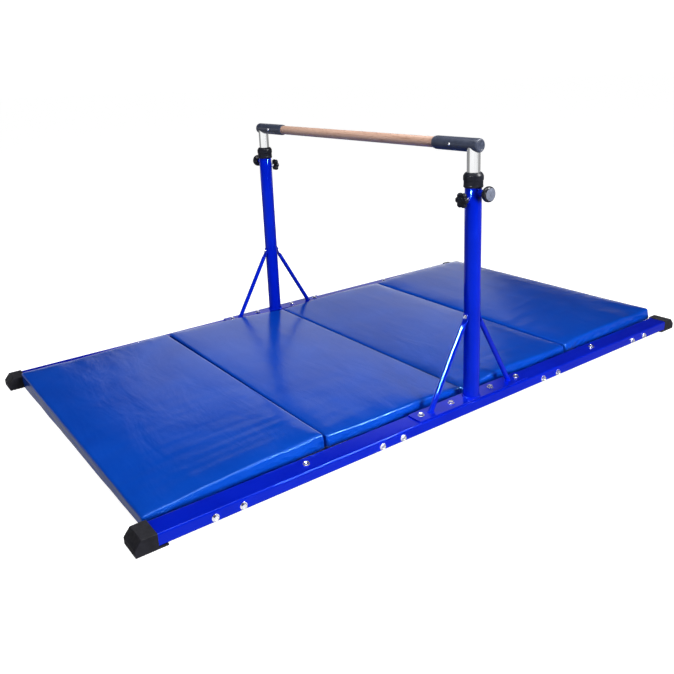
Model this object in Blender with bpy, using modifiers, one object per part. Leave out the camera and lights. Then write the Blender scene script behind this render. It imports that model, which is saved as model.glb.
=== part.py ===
"""Height-adjustable junior gymnastics bar on two floor rails, with a four-panel folding mat.

Metres. X runs along the rails, Y across them, +Z up; the origin is on the floor under the bar's middle.
"""
import math

import bmesh
import bpy
from mathutils import Matrix, Vector

# ---------------------------------------------------------------- driving dimensions
GAP = 0.0003                    # clearance left between neighbouring pieces
RAIL_Y = 0.674                  # centre line of each rail, and of the posts
RAIL_WIDTH = 0.076
RAIL_HEIGHT = 0.038
RAIL_WALL = 0.0025
RAIL_CORNER = 0.005
RAIL_BOTTOM = 0.008
RAIL_HALF_LENGTH = 1.252
CAP_SHOULDER_X = 1.2105         # where the blue rail leaves the cap
CAP_END_X = 1.276
CAP_BEVEL_X = 0.020
CAP_BEVEL_Z = 0.024
CAP_TOP = 0.0495
CAP_HALF_WIDTH = 0.041
CAP_FOOT_X = 1.183              # inner end of the foot under the rail
CAP_POCKET_X = 1.2525
STRAP_XS = (-1.0, -0.402, 0.402, 1.0)
STRAP_WIDTH = 0.120
STRAP_THICKNESS = 0.003
STRAP_BOTTOM = 0.0045
STRAP_TOP_Z = 0.037
STRAP_BOLT_PITCH = 0.088
SIDE_BOLT_Z = 0.0235
TOP_BOLT_X = 0.716
PLATE_LENGTH = 0.552
PLATE_WIDTH = 0.066
PLATE_THICKNESS = 0.005
PLATE_BOLT_XS = (-0.243, -0.100, 0.100, 0.243)
POST_R = 0.029
POST_WALL = 0.002
POST_TOP = 0.840
INNER_R = 0.0225
INNER_WALL = 0.002
INNER_BOTTOM = 0.130
INNER_TOP = 0.952
BAR_Z = 0.944
BAR_R = 0.019
BAR_HALF_LENGTH = 0.596
FIT_R = 0.0235
FIT_INNER_Y = 0.492
FIT_OUTER_Y = 0.705
FIT_ROUND = 0.007
FIT_TAPER = 0.013
SOCKET_R = 0.0252
SOCKET_BOTTOM = 0.9165
FIT_BOLT_Y = 0.586
FIT_HOLE_R = 0.0029
COLLAR_R = 0.0345
COLLAR_BOTTOM = 0.8056
COLLAR_TOP = 0.8556
PIN_Z = 0.789
PIN_R = 0.004
PIN_HOLE_R = 0.0046
PIN_PITCH = 0.080
PIN_HOLES = 8
PIN_KNOB_R = 0.0265
PIN_KNOB_BACK = 0.0600          # knob back face, measured from the post axis
PIN_KNOB_FRONT = 0.0775
PIN_NECK_R = 0.0130
PIN_BOSS_R = 0.0120
PIN_BOSS_END = 0.0500
STAR_BOSS_END = 0.0450
STAR_Z = 0.768
STAR_R = 0.0268
STAR_LOBES = 6
STAR_BACK = 0.0470              # star knob back face, measured from the post axis
STAR_FRONT = 0.0605
STUD_R = 0.004
BRACE_R = 0.0095
BRACE_WALL = 0.0015
BRACE_FOOT_X = 0.1986
BRACE_TOP_X = 0.0307
BRACE_TOP_Z = 0.342
BRACE_BOLT_Z = 0.357
EAR_WIDTH = 0.024
EAR_THICKNESS = 0.004
EAR_BOTTOM = 0.328
EAR_TOP = 0.371
EAR_BOLT_CLEAR = 0.0015          # between an ear bolt's tip and the inner tube
BOLT_R = 0.004
HOLE_R = 0.0044
WASHER_R = 0.0105
WASHER_T = 0.0016
HEAD_R = 0.0081                 # across the corners of the hexagon
HEAD_H = 0.0058
MAT_WIDTH = 1.220
MAT_THICKNESS = 0.050
PANEL_PITCH = 0.610
SEAM_GAP = 0.006
PANEL_EDGE_R = 0.006
WEB_R = 0.0026
MID_SEAM_X = 0.012              # the mat lies a little towards +X
MID_SEAM_Z = 0.058
PANEL_TILTS = (-2.68, 2.07, 0.56, 1.22)   # degrees, each panel's outer end up is positive

TUBE_STEPS = 24
SMALL_STEPS = 12
BOLT_STEPS = 12
HOLE_STEPS = 8

BLUE = (0.010, 0.035, 0.620, 1.0)
VINYL = (0.012, 0.090, 0.420, 1.0)
WEB_BLUE = (0.008, 0.050, 0.250, 1.0)
BLACK = (0.020, 0.020, 0.024, 1.0)
GREY = (0.110, 0.135, 0.190, 1.0)
ZINC = (0.620, 0.630, 0.640, 1.0)
CHROME = (0.800, 0.810, 0.820, 1.0)
WOOD = (0.560, 0.330, 0.220, 1.0)

# ---------------------------------------------------------------- scene and helpers
for old in list(bpy.data.objects):
    bpy.data.objects.remove(old, do_unlink=True)

PARTS = bpy.data.collections.new("gymnastics_bar")
bpy.context.scene.collection.children.link(PARTS)


def material(name, colour, roughness, metallic):
    """A Principled material of its own for one sub-part."""
    made = bpy.data.materials.new(name)
    made.use_nodes = True
    shader = made.node_tree.nodes["Principled BSDF"]
    shader.inputs["Base Color"].default_value = colour
    shader.inputs["Roughness"].default_value = roughness
    shader.inputs["Metallic"].default_value = metallic
    return made


def mesh_object(name, bm):
    """Turn a bmesh into an object in the parts collection."""
    bmesh.ops.recalc_face_normals(bm, faces=bm.faces)
    data = bpy.data.meshes.new(name)
    bm.to_mesh(data)
    bm.free()
    made = bpy.data.objects.new(name, data)
    PARTS.objects.link(made)
    return made


def bake(target):
    """Replace an object's data by its evaluated mesh and drop its modifiers."""
    depsgraph = bpy.context.evaluated_depsgraph_get()
    depsgraph.update()
    data = bpy.data.meshes.new_from_object(target.evaluated_get(depsgraph))
    target.modifiers.clear()
    target.data = data
    return target


def place(target, matrix):
    """Move a mesh's own points, so that the object keeps an identity transform."""
    target.data.transform(matrix)
    if matrix.determinant() < 0.0:
        target.data.flip_normals()
    return target


def cut(target, operation, tools):
    """Combine a target with each tool by an exact Boolean, then remove the tools."""
    for tool in tools:
        step = target.modifiers.new("combine", "BOOLEAN")
        step.operation = operation
        step.solver = "EXACT"
        step.object = tool
        bake(target)
        bpy.data.objects.remove(tool, do_unlink=True)
    return target


def box(name, low, high, bevel=0.0, segments=2):
    """A box between two corners, with its edges rounded when bevel is given."""
    bm = bmesh.new()
    bmesh.ops.create_cube(bm, size=1.0)
    size = Vector(high) - Vector(low)
    centre = (Vector(high) + Vector(low)) / 2.0
    bmesh.ops.scale(bm, vec=size, verts=bm.verts)
    bmesh.ops.translate(bm, vec=centre, verts=bm.verts)
    if bevel > 0.0:
        bmesh.ops.bevel(bm, geom=bm.edges[:], offset=bevel, segments=segments, profile=0.5,
                        affect="EDGES", clamp_overlap=True)
    return mesh_object(name, bm)


def turned(name, profile, steps=TUBE_STEPS, closed=False):
    """Turn a profile of (radius, height) points about Z; closed makes a ring."""
    data = bpy.data.meshes.new(name)
    points = [(radius, 0.0, height) for radius, height in profile]
    edges = [(i, i + 1) for i in range(len(points) - 1)]
    if closed:
        edges.append((len(points) - 1, 0))
    data.from_pydata(points, edges, [])
    made = bpy.data.objects.new(name, data)
    PARTS.objects.link(made)
    screw = made.modifiers.new("turn", "SCREW")
    screw.steps = steps
    screw.render_steps = steps
    screw.use_merge_vertices = True
    screw.merge_threshold = 0.00001
    screw.use_normal_calculate = True
    bake(made)
    bm = bmesh.new()
    bm.from_mesh(made.data)
    bmesh.ops.recalc_face_normals(bm, faces=bm.faces)
    bm.to_mesh(made.data)
    bm.free()
    return made


def rod(name, start, end, radius, steps=SMALL_STEPS):
    """A plain cylinder from one point to another."""
    start = Vector(start)
    end = Vector(end)
    along = end - start
    bm = bmesh.new()
    bmesh.ops.create_cone(bm, cap_ends=True, segments=steps, radius1=radius, radius2=radius,
                          depth=along.length)
    made = mesh_object(name, bm)
    place(made, Matrix.Rotation(math.pi / (2.0 * steps), 4, "Z"))
    turn = along.to_track_quat("Z", "Y").to_matrix().to_4x4()
    return place(made, Matrix.Translation((start + end) / 2.0) @ turn)


def drill(start, end, radius=HOLE_R):
    """The cutter of one bolt or pin hole."""
    return rod("drill", start, end, radius, HOLE_STEPS)


def aim(point, direction):
    """The matrix that takes the local Z axis to a direction, at a point."""
    turn = Vector(direction).to_track_quat("Z", "Y").to_matrix().to_4x4()
    return Matrix.Translation(Vector(point)) @ turn


def ring(name, outer, inner, low, high, steps=TUBE_STEPS):
    """A straight tube along Z."""
    profile = [(outer, high), (outer, low), (inner, low), (inner, high)]
    return turned(name, profile, steps, closed=True)


def bolt(name, point, direction, shank):
    """A hexagon bolt with its washer; point is where the washer's face sits, direction leaves it."""
    bevel = 0.0010
    washer = [(0.0, WASHER_T), (WASHER_R, WASHER_T), (WASHER_R, 0.0), (BOLT_R, 0.0), (BOLT_R, -shank),
              (0.0, -shank)]
    body = turned(name, washer, BOLT_STEPS)
    bm = bmesh.new()
    lower = WASHER_T - bevel
    bmesh.ops.create_cone(bm, cap_ends=True, segments=6, radius1=HEAD_R, radius2=HEAD_R, depth=HEAD_H)
    bmesh.ops.translate(bm, vec=(0.0, 0.0, lower + HEAD_H / 2.0), verts=bm.verts)
    top = [edge for edge in bm.edges if all(vert.co.z > lower + HEAD_H / 2.0 for vert in edge.verts)]
    bmesh.ops.bevel(bm, geom=top, offset=bevel, segments=1, profile=0.5, affect="EDGES")
    head = mesh_object(name + "_head", bm)
    cut(body, "UNION", [head])
    return place(body, aim(point, direction))


def finish(target, name, made_material, smooth_angle=30.0):
    """Name an object, give it its material and shade its round faces smooth."""
    target.name = name
    target.data.name = name
    target.data.materials.clear()
    target.data.materials.append(made_material)
    target.data.shade_smooth()
    limit = math.radians(smooth_angle)
    bm = bmesh.new()
    bm.from_mesh(target.data)
    for edge in bm.edges:
        edge.smooth = len(edge.link_faces) == 2 and edge.calc_face_angle(0.0) < limit
    bm.to_mesh(target.data)
    bm.free()
    return target


def mirrored_y(source, name, made_material):
    """A copy of a finished piece on the other rail."""
    made = source.copy()
    made.data = source.data.copy()
    PARTS.objects.link(made)
    place(made, Matrix.Scale(-1.0, 4, Vector((0.0, 1.0, 0.0))))
    return finish(made, name, made_material)


def half_turned(source, name, made_material):
    """A copy of a finished piece turned half round about the vertical through the origin."""
    made = source.copy()
    made.data = source.data.copy()
    PARTS.objects.link(made)
    place(made, Matrix.Rotation(math.pi, 4, "Z"))
    return finish(made, name, made_material)


def coat(name):
    return material(name + "_coat", BLUE, 0.28, 0.0)


def zinc(name):
    return material(name + "_zinc", ZINC, 0.30, 1.0)


def black(name, roughness=0.5):
    return material(name + "_black", BLACK, roughness, 0.0)


# ---------------------------------------------------------------- rails, near side is -Y
RAIL_TOP = RAIL_BOTTOM + RAIL_HEIGHT
RAIL_OUT = -(RAIL_Y + RAIL_WIDTH / 2.0)
RAIL_IN = -(RAIL_Y - RAIL_WIDTH / 2.0)
OVERRUN = 0.02


def rounded_bar(name, half_length, width, height, corner):
    """A long bar along X with four rounded long edges, centred on the origin."""
    bm = bmesh.new()
    bmesh.ops.create_cube(bm, size=1.0)
    bmesh.ops.scale(bm, vec=(2.0 * half_length, width, height), verts=bm.verts)
    long_edges = [edge for edge in bm.edges if abs(edge.verts[0].co.x - edge.verts[1].co.x) > half_length]
    bmesh.ops.bevel(bm, geom=long_edges, offset=corner, segments=4, profile=0.5, affect="EDGES")
    return mesh_object(name, bm)


rail = rounded_bar("rail", RAIL_HALF_LENGTH, RAIL_WIDTH, RAIL_HEIGHT, RAIL_CORNER)
hollow = rounded_bar("hollow", RAIL_HALF_LENGTH + OVERRUN, RAIL_WIDTH - 2.0 * RAIL_WALL,
                     RAIL_HEIGHT - 2.0 * RAIL_WALL, RAIL_CORNER - RAIL_WALL)
cut(rail, "DIFFERENCE", [hollow])
place(rail, Matrix.Translation((0.0, -RAIL_Y, (RAIL_BOTTOM + RAIL_TOP) / 2.0)))
drills = []
for strap_x in STRAP_XS:
    for side in (-1.0, 1.0):
        x = strap_x + side * STRAP_BOLT_PITCH / 2.0
        drills.append(drill((x, RAIL_OUT - OVERRUN, SIDE_BOLT_Z), (x, RAIL_IN + OVERRUN, SIDE_BOLT_Z)))
for x in PLATE_BOLT_XS + (-TOP_BOLT_X, TOP_BOLT_X):
    drills.append(drill((x, -RAIL_Y, RAIL_TOP - OVERRUN), (x, -RAIL_Y, RAIL_TOP + OVERRUN)))
cut(rail, "DIFFERENCE", drills)
finish(rail, "rail_near", coat("rail_near"))
mirrored_y(rail, "rail_far", coat("rail_far"))

# ---------------------------------------------------------------- end caps
cap_outline = [
    (CAP_FOOT_X, 0.0),
    (CAP_END_X - 0.002, 0.0),
    (CAP_END_X, 0.002),
    (CAP_END_X, CAP_TOP - CAP_BEVEL_Z),
    (CAP_END_X - CAP_BEVEL_X, CAP_TOP),
    (CAP_SHOULDER_X, CAP_TOP),
    (CAP_SHOULDER_X, RAIL_BOTTOM - GAP),
    (CAP_FOOT_X, RAIL_BOTTOM - GAP),
]


def extruded(name, outline, half_width):
    """An outline in the XZ plane given thickness along Y."""
    curve = bpy.data.curves.new(name, "CURVE")
    curve.dimensions = "2D"
    curve.fill_mode = "BOTH"
    curve.extrude = half_width
    spline = curve.splines.new("POLY")
    spline.points.add(len(outline) - 1)
    for spot, (x, z) in zip(spline.points, outline):
        spot.co = (x, z, 0.0, 1.0)
    spline.use_cyclic_u = True
    holder = bpy.data.objects.new(name, curve)
    PARTS.objects.link(holder)
    bpy.context.view_layer.update()
    depsgraph = bpy.context.evaluated_depsgraph_get()
    data = bpy.data.meshes.new_from_object(holder.evaluated_get(depsgraph))
    bpy.data.objects.remove(holder, do_unlink=True)
    bm = bmesh.new()
    bm.from_mesh(data)
    bmesh.ops.remove_doubles(bm, verts=bm.verts, dist=0.00001)
    made = mesh_object(name, bm)
    return place(made, Matrix.Rotation(math.pi / 2.0, 4, "X"))


cap = extruded("cap", cap_outline, CAP_HALF_WIDTH)
soften = cap.modifiers.new("soften", "BEVEL")
soften.width = 0.0022
soften.segments = 2
soften.limit_method = "ANGLE"
bake(cap)
pocket = rounded_bar("pocket", (CAP_POCKET_X + GAP - CAP_SHOULDER_X + OVERRUN) / 2.0,
                     RAIL_WIDTH + 2.0 * GAP, RAIL_HEIGHT + 2.0 * GAP, RAIL_CORNER + GAP)
place(pocket, Matrix.Translation(((CAP_POCKET_X + GAP + CAP_SHOULDER_X - OVERRUN) / 2.0, 0.0,
                                  (RAIL_BOTTOM + RAIL_TOP) / 2.0)))
cut(cap, "DIFFERENCE", [pocket])
place(cap, Matrix.Translation((0.0, -RAIL_Y, 0.0)))
finish(cap, "cap_near_right", black("cap_near_right"))
mirrored_y(cap, "cap_far_right", black("cap_far_right"))
half_turned(cap, "cap_far_left", black("cap_far_left"))
half_turned(bpy.data.objects["cap_far_right"], "cap_near_left", black("cap_near_left"))

# ---------------------------------------------------------------- cross straps and their bolts
STRAP_HALF = -RAIL_IN - GAP
for index, strap_x in enumerate(STRAP_XS, start=1):
    name = "cross_strap_%d" % index
    low_x = strap_x - STRAP_WIDTH / 2.0
    high_x = strap_x + STRAP_WIDTH / 2.0
    strap = box(name, (low_x, -STRAP_HALF, STRAP_BOTTOM), (high_x, STRAP_HALF, STRAP_TOP_Z))
    trough = box("trough", (low_x - OVERRUN, -STRAP_HALF + STRAP_THICKNESS, STRAP_BOTTOM + STRAP_THICKNESS),
                 (high_x + OVERRUN, STRAP_HALF - STRAP_THICKNESS, STRAP_TOP_Z + OVERRUN))
    drills = [trough]
    for side in (-1.0, 1.0):
        x = strap_x + side * STRAP_BOLT_PITCH / 2.0
        drills.append(drill((x, -STRAP_HALF - OVERRUN, SIDE_BOLT_Z), (x, STRAP_HALF + OVERRUN, SIDE_BOLT_Z)))
    cut(strap, "DIFFERENCE", drills)
    finish(strap, name, coat(name))

NUT_STRIP_T = 0.005
NUT_STRIP_HEIGHT = 0.014
for index, strap_x in enumerate(STRAP_XS, start=1):
    name = "side_bolts_near_%d" % index
    strip_y = -STRAP_HALF + STRAP_THICKNESS + GAP
    reach = strip_y + NUT_STRIP_T / 2.0 - RAIL_OUT
    pair = []
    for side in (-1.0, 1.0):
        x = strap_x + side * STRAP_BOLT_PITCH / 2.0
        pair.append(bolt("bolt", (x, RAIL_OUT - GAP, SIDE_BOLT_Z), (0.0, -1.0, 0.0), reach))
    strip_half = STRAP_BOLT_PITCH / 2.0 + 0.010
    strip = box(name, (strap_x - strip_half, strip_y, SIDE_BOLT_Z - NUT_STRIP_HEIGHT / 2.0),
                (strap_x + strip_half, strip_y + NUT_STRIP_T, SIDE_BOLT_Z + NUT_STRIP_HEIGHT / 2.0), 0.001, 1)
    cut(strip, "UNION", pair)
    finish(strip, name, zinc(name))
    mirrored_y(strip, "side_bolts_far_%d" % index, zinc("side_bolts_far_%d" % index))

# ---------------------------------------------------------------- base plates and upright bolts
PLATE_BOTTOM = RAIL_TOP + GAP
PLATE_TOP = PLATE_BOTTOM + PLATE_THICKNESS
plate = box("plate", (-PLATE_LENGTH / 2.0, -RAIL_Y - PLATE_WIDTH / 2.0, PLATE_BOTTOM),
            (PLATE_LENGTH / 2.0, -RAIL_Y + PLATE_WIDTH / 2.0, PLATE_TOP), 0.001, 1)
cut(plate, "DIFFERENCE", [drill((x, -RAIL_Y, PLATE_BOTTOM - OVERRUN), (x, -RAIL_Y, PLATE_TOP + OVERRUN))
                          for x in PLATE_BOLT_XS])
finish(plate, "base_plate_near", coat("base_plate_near"))
mirrored_y(plate, "base_plate_far", coat("base_plate_far"))

NUT_BAR_T = 0.006
NUT_BAR_TOP = RAIL_TOP - RAIL_WALL - GAP
nut_bar = box("nut_bar", (PLATE_BOLT_XS[0] - 0.012, -RAIL_Y - 0.009, NUT_BAR_TOP - NUT_BAR_T),
              (PLATE_BOLT_XS[-1] + 0.012, -RAIL_Y + 0.009, NUT_BAR_TOP), 0.001, 1)
up = (0.0, 0.0, 1.0)
cut(nut_bar, "UNION", [bolt("bolt", (x, -RAIL_Y, PLATE_TOP + GAP), up, PLATE_TOP + GAP - NUT_BAR_TOP + 0.003)
                       for x in PLATE_BOLT_XS])
finish(nut_bar, "base_bolts_near", zinc("base_bolts_near"))
mirrored_y(nut_bar, "base_bolts_far", zinc("base_bolts_far"))

for side_name, side in (("left", -1.0), ("right", 1.0)):
    x = side * TOP_BOLT_X
    name = "rail_bolt_near_" + side_name
    top_bolt = bolt("bolt", (x, -RAIL_Y, RAIL_TOP + GAP), up, RAIL_TOP + GAP - NUT_BAR_TOP + 0.003)
    nut = rod("nut", (x, -RAIL_Y, NUT_BAR_TOP - NUT_BAR_T), (x, -RAIL_Y, NUT_BAR_TOP), HEAD_R, 6)
    cut(top_bolt, "UNION", [nut])
    finish(top_bolt, name, zinc(name))
    mirrored_y(top_bolt, "rail_bolt_far_" + side_name, zinc("rail_bolt_far_" + side_name))

# ---------------------------------------------------------------- posts
post_foot = PLATE_TOP + GAP
post = ring("post", POST_R, POST_R - POST_WALL, post_foot, POST_TOP)
drills = [
    drill((0.0, 0.0, PIN_Z), (0.0, -POST_R - OVERRUN, PIN_Z), PIN_HOLE_R),
    drill((0.0, 0.0, STAR_Z), (-POST_R - OVERRUN, 0.0, STAR_Z), PIN_HOLE_R),
    drill((-POST_R - OVERRUN, 0.0, BRACE_BOLT_Z), (POST_R + OVERRUN, 0.0, BRACE_BOLT_Z)),
]
cut(post, "DIFFERENCE", drills)
place(post, Matrix.Translation((0.0, -RAIL_Y, 0.0)))
finish(post, "post_near", coat("post_near"))
half_turned(post, "post_far", coat("post_far"))

lip_outer = POST_R - POST_WALL - GAP
bore = INNER_R + GAP
collar = turned("collar", [
    (COLLAR_R - 0.0035, COLLAR_TOP),
    (COLLAR_R - 0.0008, COLLAR_TOP - 0.0035),
    (COLLAR_R, COLLAR_TOP - 0.0065),
    (COLLAR_R, COLLAR_BOTTOM + 0.0015),
    (COLLAR_R - 0.0015, COLLAR_BOTTOM),
    (POST_R + GAP, COLLAR_BOTTOM),
    (POST_R + GAP, POST_TOP + GAP),
    (lip_outer, POST_TOP + GAP),
    (lip_outer, COLLAR_BOTTOM + 0.006),
    (bore, COLLAR_BOTTOM + 0.006),
    (bore, COLLAR_TOP - 0.001),
    (bore + 0.001, COLLAR_TOP),
], TUBE_STEPS, closed=True)
place(collar, Matrix.Translation((0.0, -RAIL_Y, 0.0)))
finish(collar, "collar_near", black("collar_near"))
mirrored_y(collar, "collar_far", black("collar_far"))

# ---------------------------------------------------------------- braces
slope = Vector((BRACE_FOOT_X - BRACE_TOP_X, 0.0, PLATE_TOP - BRACE_TOP_Z)).normalized()
foot = Vector((BRACE_FOOT_X, 0.0, PLATE_TOP))
head = Vector((BRACE_TOP_X, 0.0, BRACE_TOP_Z))
ear_in = POST_R + GAP
for side_name, side in (("left", -1.0), ("right", 1.0)):
    brace = rod("brace", head - slope * 0.004, foot + slope * OVERRUN, BRACE_R)
    ear = box("ear", (ear_in, -EAR_WIDTH / 2.0, EAR_BOTTOM), (ear_in + EAR_THICKNESS, EAR_WIDTH / 2.0, EAR_TOP),
              0.0012, 1)
    cut(brace, "UNION", [ear])
    clear = rod("clear", (0.0, 0.0, EAR_BOTTOM - 0.1), (0.0, 0.0, EAR_TOP + 0.1), POST_R + GAP, TUBE_STEPS)
    floor = box("floor", (0.0, -0.05, -0.05), (0.3, 0.05, post_foot))
    inside = rod("inside", head + slope * 0.030, foot + slope * 2.0 * OVERRUN, BRACE_R - BRACE_WALL)
    hole = drill((0.0, 0.0, BRACE_BOLT_Z), (0.1, 0.0, BRACE_BOLT_Z))
    face = box("face", (ear_in + EAR_THICKNESS, -0.013, BRACE_BOLT_Z - 0.0125),
               (ear_in + 0.05, 0.013, BRACE_BOLT_Z + 0.05))
    cut(brace, "DIFFERENCE", [clear, floor, inside, face, hole])
    name = "brace_near_" + side_name
    if side < 0.0:
        place(brace, Matrix.Scale(-1.0, 4, Vector((1.0, 0.0, 0.0))))
    place(brace, Matrix.Translation((0.0, -RAIL_Y, 0.0)))
    finish(brace, name, coat(name))
    mirrored_y(brace, "brace_far_" + side_name, coat("brace_far_" + side_name))

bolt_face = ear_in + EAR_THICKNESS + GAP
for side_name, side in (("left", -1.0), ("right", 1.0)):
    name = "brace_bolt_near_" + side_name
    ear_bolt = bolt("ear_bolt", (side * bolt_face, 0.0, BRACE_BOLT_Z), (side, 0.0, 0.0),
                    bolt_face - INNER_R - EAR_BOLT_CLEAR)
    place(ear_bolt, Matrix.Translation((0.0, -RAIL_Y, 0.0)))
    finish(ear_bolt, name, zinc(name))
    mirrored_y(ear_bolt, "brace_bolt_far_" + side_name, zinc("brace_bolt_far_" + side_name))

# ---------------------------------------------------------------- clamp knobs and pull pins
post_clear = rod("post_clear", (0.0, 0.0, PIN_Z - 0.1), (0.0, 0.0, PIN_Z + 0.1), POST_R + GAP, TUBE_STEPS)

pin_boss = turned("pin_boss", [
    (PIN_BOSS_R - 0.0010, PIN_BOSS_END), (PIN_BOSS_R, PIN_BOSS_END - 0.0010), (PIN_BOSS_R, 0.0200),
    (PIN_HOLE_R, 0.0200), (PIN_HOLE_R, PIN_BOSS_END),
], SMALL_STEPS, closed=True)
place(pin_boss, aim((0.0, 0.0, PIN_Z), (0.0, -1.0, 0.0)))
star_boss = turned("star_boss", [
    (0.0090, STAR_BOSS_END), (0.0100, STAR_BOSS_END - 0.0010), (0.0100, 0.0200),
    (PIN_HOLE_R, 0.0200), (PIN_HOLE_R, STAR_BOSS_END),
], SMALL_STEPS, closed=True)
place(star_boss, aim((0.0, 0.0, STAR_Z), (-1.0, 0.0, 0.0)))
post_clear_again = post_clear.copy()
post_clear_again.data = post_clear.data.copy()
PARTS.objects.link(post_clear_again)
cut(pin_boss, "DIFFERENCE", [post_clear])
cut(star_boss, "DIFFERENCE", [post_clear_again])
for boss, name, made in ((pin_boss, "pin_boss", coat), (star_boss, "star_boss", zinc)):
    place(boss, Matrix.Translation((0.0, -RAIL_Y, 0.0)))
    finish(boss, name + "_near", made(name + "_near"))
    half_turned(boss, name + "_far", made(name + "_far"))

pin_tip = INNER_R + 0.0005
pull_pin = turned("pull_pin", [
    (0.0, PIN_KNOB_FRONT - 0.0012),
    (0.0170, PIN_KNOB_FRONT - 0.0010),
    (0.0215, PIN_KNOB_FRONT - 0.0018),
    (0.0245, PIN_KNOB_FRONT - 0.0035),
    (PIN_KNOB_R, PIN_KNOB_FRONT - 0.0070),
    (PIN_KNOB_R, PIN_KNOB_BACK + 0.0050),
    (0.0240, PIN_KNOB_BACK + 0.0016),
    (0.0205, PIN_KNOB_BACK),
    (PIN_NECK_R, PIN_KNOB_BACK - 0.0020),
    (PIN_NECK_R, PIN_BOSS_END + 0.0006),
    (PIN_R, PIN_BOSS_END + 0.0006),
    (PIN_R, pin_tip + 0.0010),
    (PIN_R - 0.0010, pin_tip),
    (0.0, pin_tip),
], 20)
place(pull_pin, aim((0.0, -RAIL_Y, PIN_Z), (0.0, -1.0, 0.0)))
finish(pull_pin, "pull_pin_near", black("pull_pin_near", 0.3))
half_turned(pull_pin, "pull_pin_far", black("pull_pin_far", 0.3))

lobe_points = 6 * STAR_LOBES
lobe_depth = 0.0030
star_outline = []
for step in range(lobe_points):
    angle = 2.0 * math.pi * step / lobe_points
    wave = abs(math.cos(STAR_LOBES * angle / 2.0))
    radius = STAR_R - lobe_depth * 1.5 * (1.0 - wave) ** 1.2
    star_outline.append((radius * math.cos(angle), radius * math.sin(angle)))
star = extruded("star", star_outline, (STAR_FRONT - STAR_BACK) / 2.0)
place(star, Matrix.Rotation(-math.pi / 2.0, 4, "X"))
place(star, Matrix.Translation((0.0, 0.0, (STAR_FRONT + STAR_BACK) / 2.0)))
soften = star.modifiers.new("soften", "BEVEL")
soften.width = 0.0025
soften.segments = 2
soften.limit_method = "ANGLE"
soften.angle_limit = math.radians(50.0)
bake(star)
stud_tip = INNER_R + 0.0010
stud = turned("stud", [
    (0.0, STAR_BACK + 0.004), (STUD_R, STAR_BACK + 0.004),
    (STUD_R, stud_tip + 0.001), (STUD_R - 0.001, stud_tip), (0.0, stud_tip),
], SMALL_STEPS)
cut(star, "UNION", [stud])
place(star, aim((0.0, -RAIL_Y, STAR_Z), (-1.0, 0.0, 0.0)))
finish(star, "star_knob_near", black("star_knob_near", 0.45))
half_turned(star, "star_knob_far", black("star_knob_far", 0.45))

# ---------------------------------------------------------------- bar, fittings and inner tubes
inner = ring("inner", INNER_R, INNER_R - INNER_WALL, INNER_BOTTOM, INNER_TOP)
drills = []
for index in range(PIN_HOLES):
    z = PIN_Z - index * PIN_PITCH
    drills.append(drill((0.0, 0.0, z), (0.0, -INNER_R - OVERRUN, z), PIN_HOLE_R))
cut(inner, "DIFFERENCE", drills)
place(inner, Matrix.Translation((0.0, -RAIL_Y, 0.0)))
finish(inner, "inner_tube_near", material("inner_tube_near_chrome", CHROME, 0.08, 1.0))
mirrored_y(inner, "inner_tube_far", material("inner_tube_far_chrome", CHROME, 0.08, 1.0))

fitting = turned("fitting", [
    (0.0, FIT_OUTER_Y),
    (FIT_R - FIT_ROUND, FIT_OUTER_Y),
    (FIT_R - FIT_ROUND * 0.45, FIT_OUTER_Y - FIT_ROUND * 0.16),
    (FIT_R - FIT_ROUND * 0.12, FIT_OUTER_Y - FIT_ROUND * 0.50),
    (FIT_R, FIT_OUTER_Y - FIT_ROUND),
    (FIT_R, FIT_INNER_Y + FIT_TAPER),
    (FIT_R - 0.0008, FIT_INNER_Y + FIT_TAPER * 0.5),
    (FIT_R - 0.0028, FIT_INNER_Y),
    (BAR_R + GAP, FIT_INNER_Y),
    (BAR_R + GAP, BAR_HALF_LENGTH + GAP),
    (0.0, BAR_HALF_LENGTH + GAP),
])
place(fitting, aim((0.0, 0.0, BAR_Z), (0.0, -1.0, 0.0)))
socket = turned("socket", [
    (0.0, BAR_Z + 0.004),
    (SOCKET_R - 0.0075, BAR_Z + 0.004),
    (SOCKET_R - 0.0012, BAR_Z - 0.0085),
    (SOCKET_R, BAR_Z - 0.0105),
    (SOCKET_R, SOCKET_BOTTOM + 0.0015),
    (SOCKET_R - 0.0015, SOCKET_BOTTOM),
    (0.0, SOCKET_BOTTOM),
])
place(socket, Matrix.Translation((0.0, -RAIL_Y, 0.0)))
cut(fitting, "UNION", [socket])
cut(fitting, "DIFFERENCE", [
    rod("tube_bore", (0.0, -RAIL_Y, SOCKET_BOTTOM - OVERRUN), (0.0, -RAIL_Y, INNER_TOP + GAP), INNER_R + GAP,
        TUBE_STEPS),
    drill((0.0, -FIT_BOLT_Y, BAR_Z), (-0.06, -FIT_BOLT_Y, BAR_Z), FIT_HOLE_R),
])
finish(fitting, "fitting_near", material("fitting_near_grey", GREY, 0.42, 0.0))
mirrored_y(fitting, "fitting_far", material("fitting_far_grey", GREY, 0.42, 0.0))

fit_bolt = turned("fit_bolt", [
    (0.0, 0.0292), (0.0022, 0.0288), (0.0042, 0.0270), (0.0048, 0.0240), (0.0025, 0.0240), (0.0025, 0.0060),
    (0.0, 0.0060),
], SMALL_STEPS)
place(fit_bolt, aim((0.0, -FIT_BOLT_Y, BAR_Z), (-1.0, 0.0, 0.0)))
finish(fit_bolt, "fitting_bolt_near", zinc("fitting_bolt_near"))
mirrored_y(fit_bolt, "fitting_bolt_far", zinc("fitting_bolt_far"))

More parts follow.
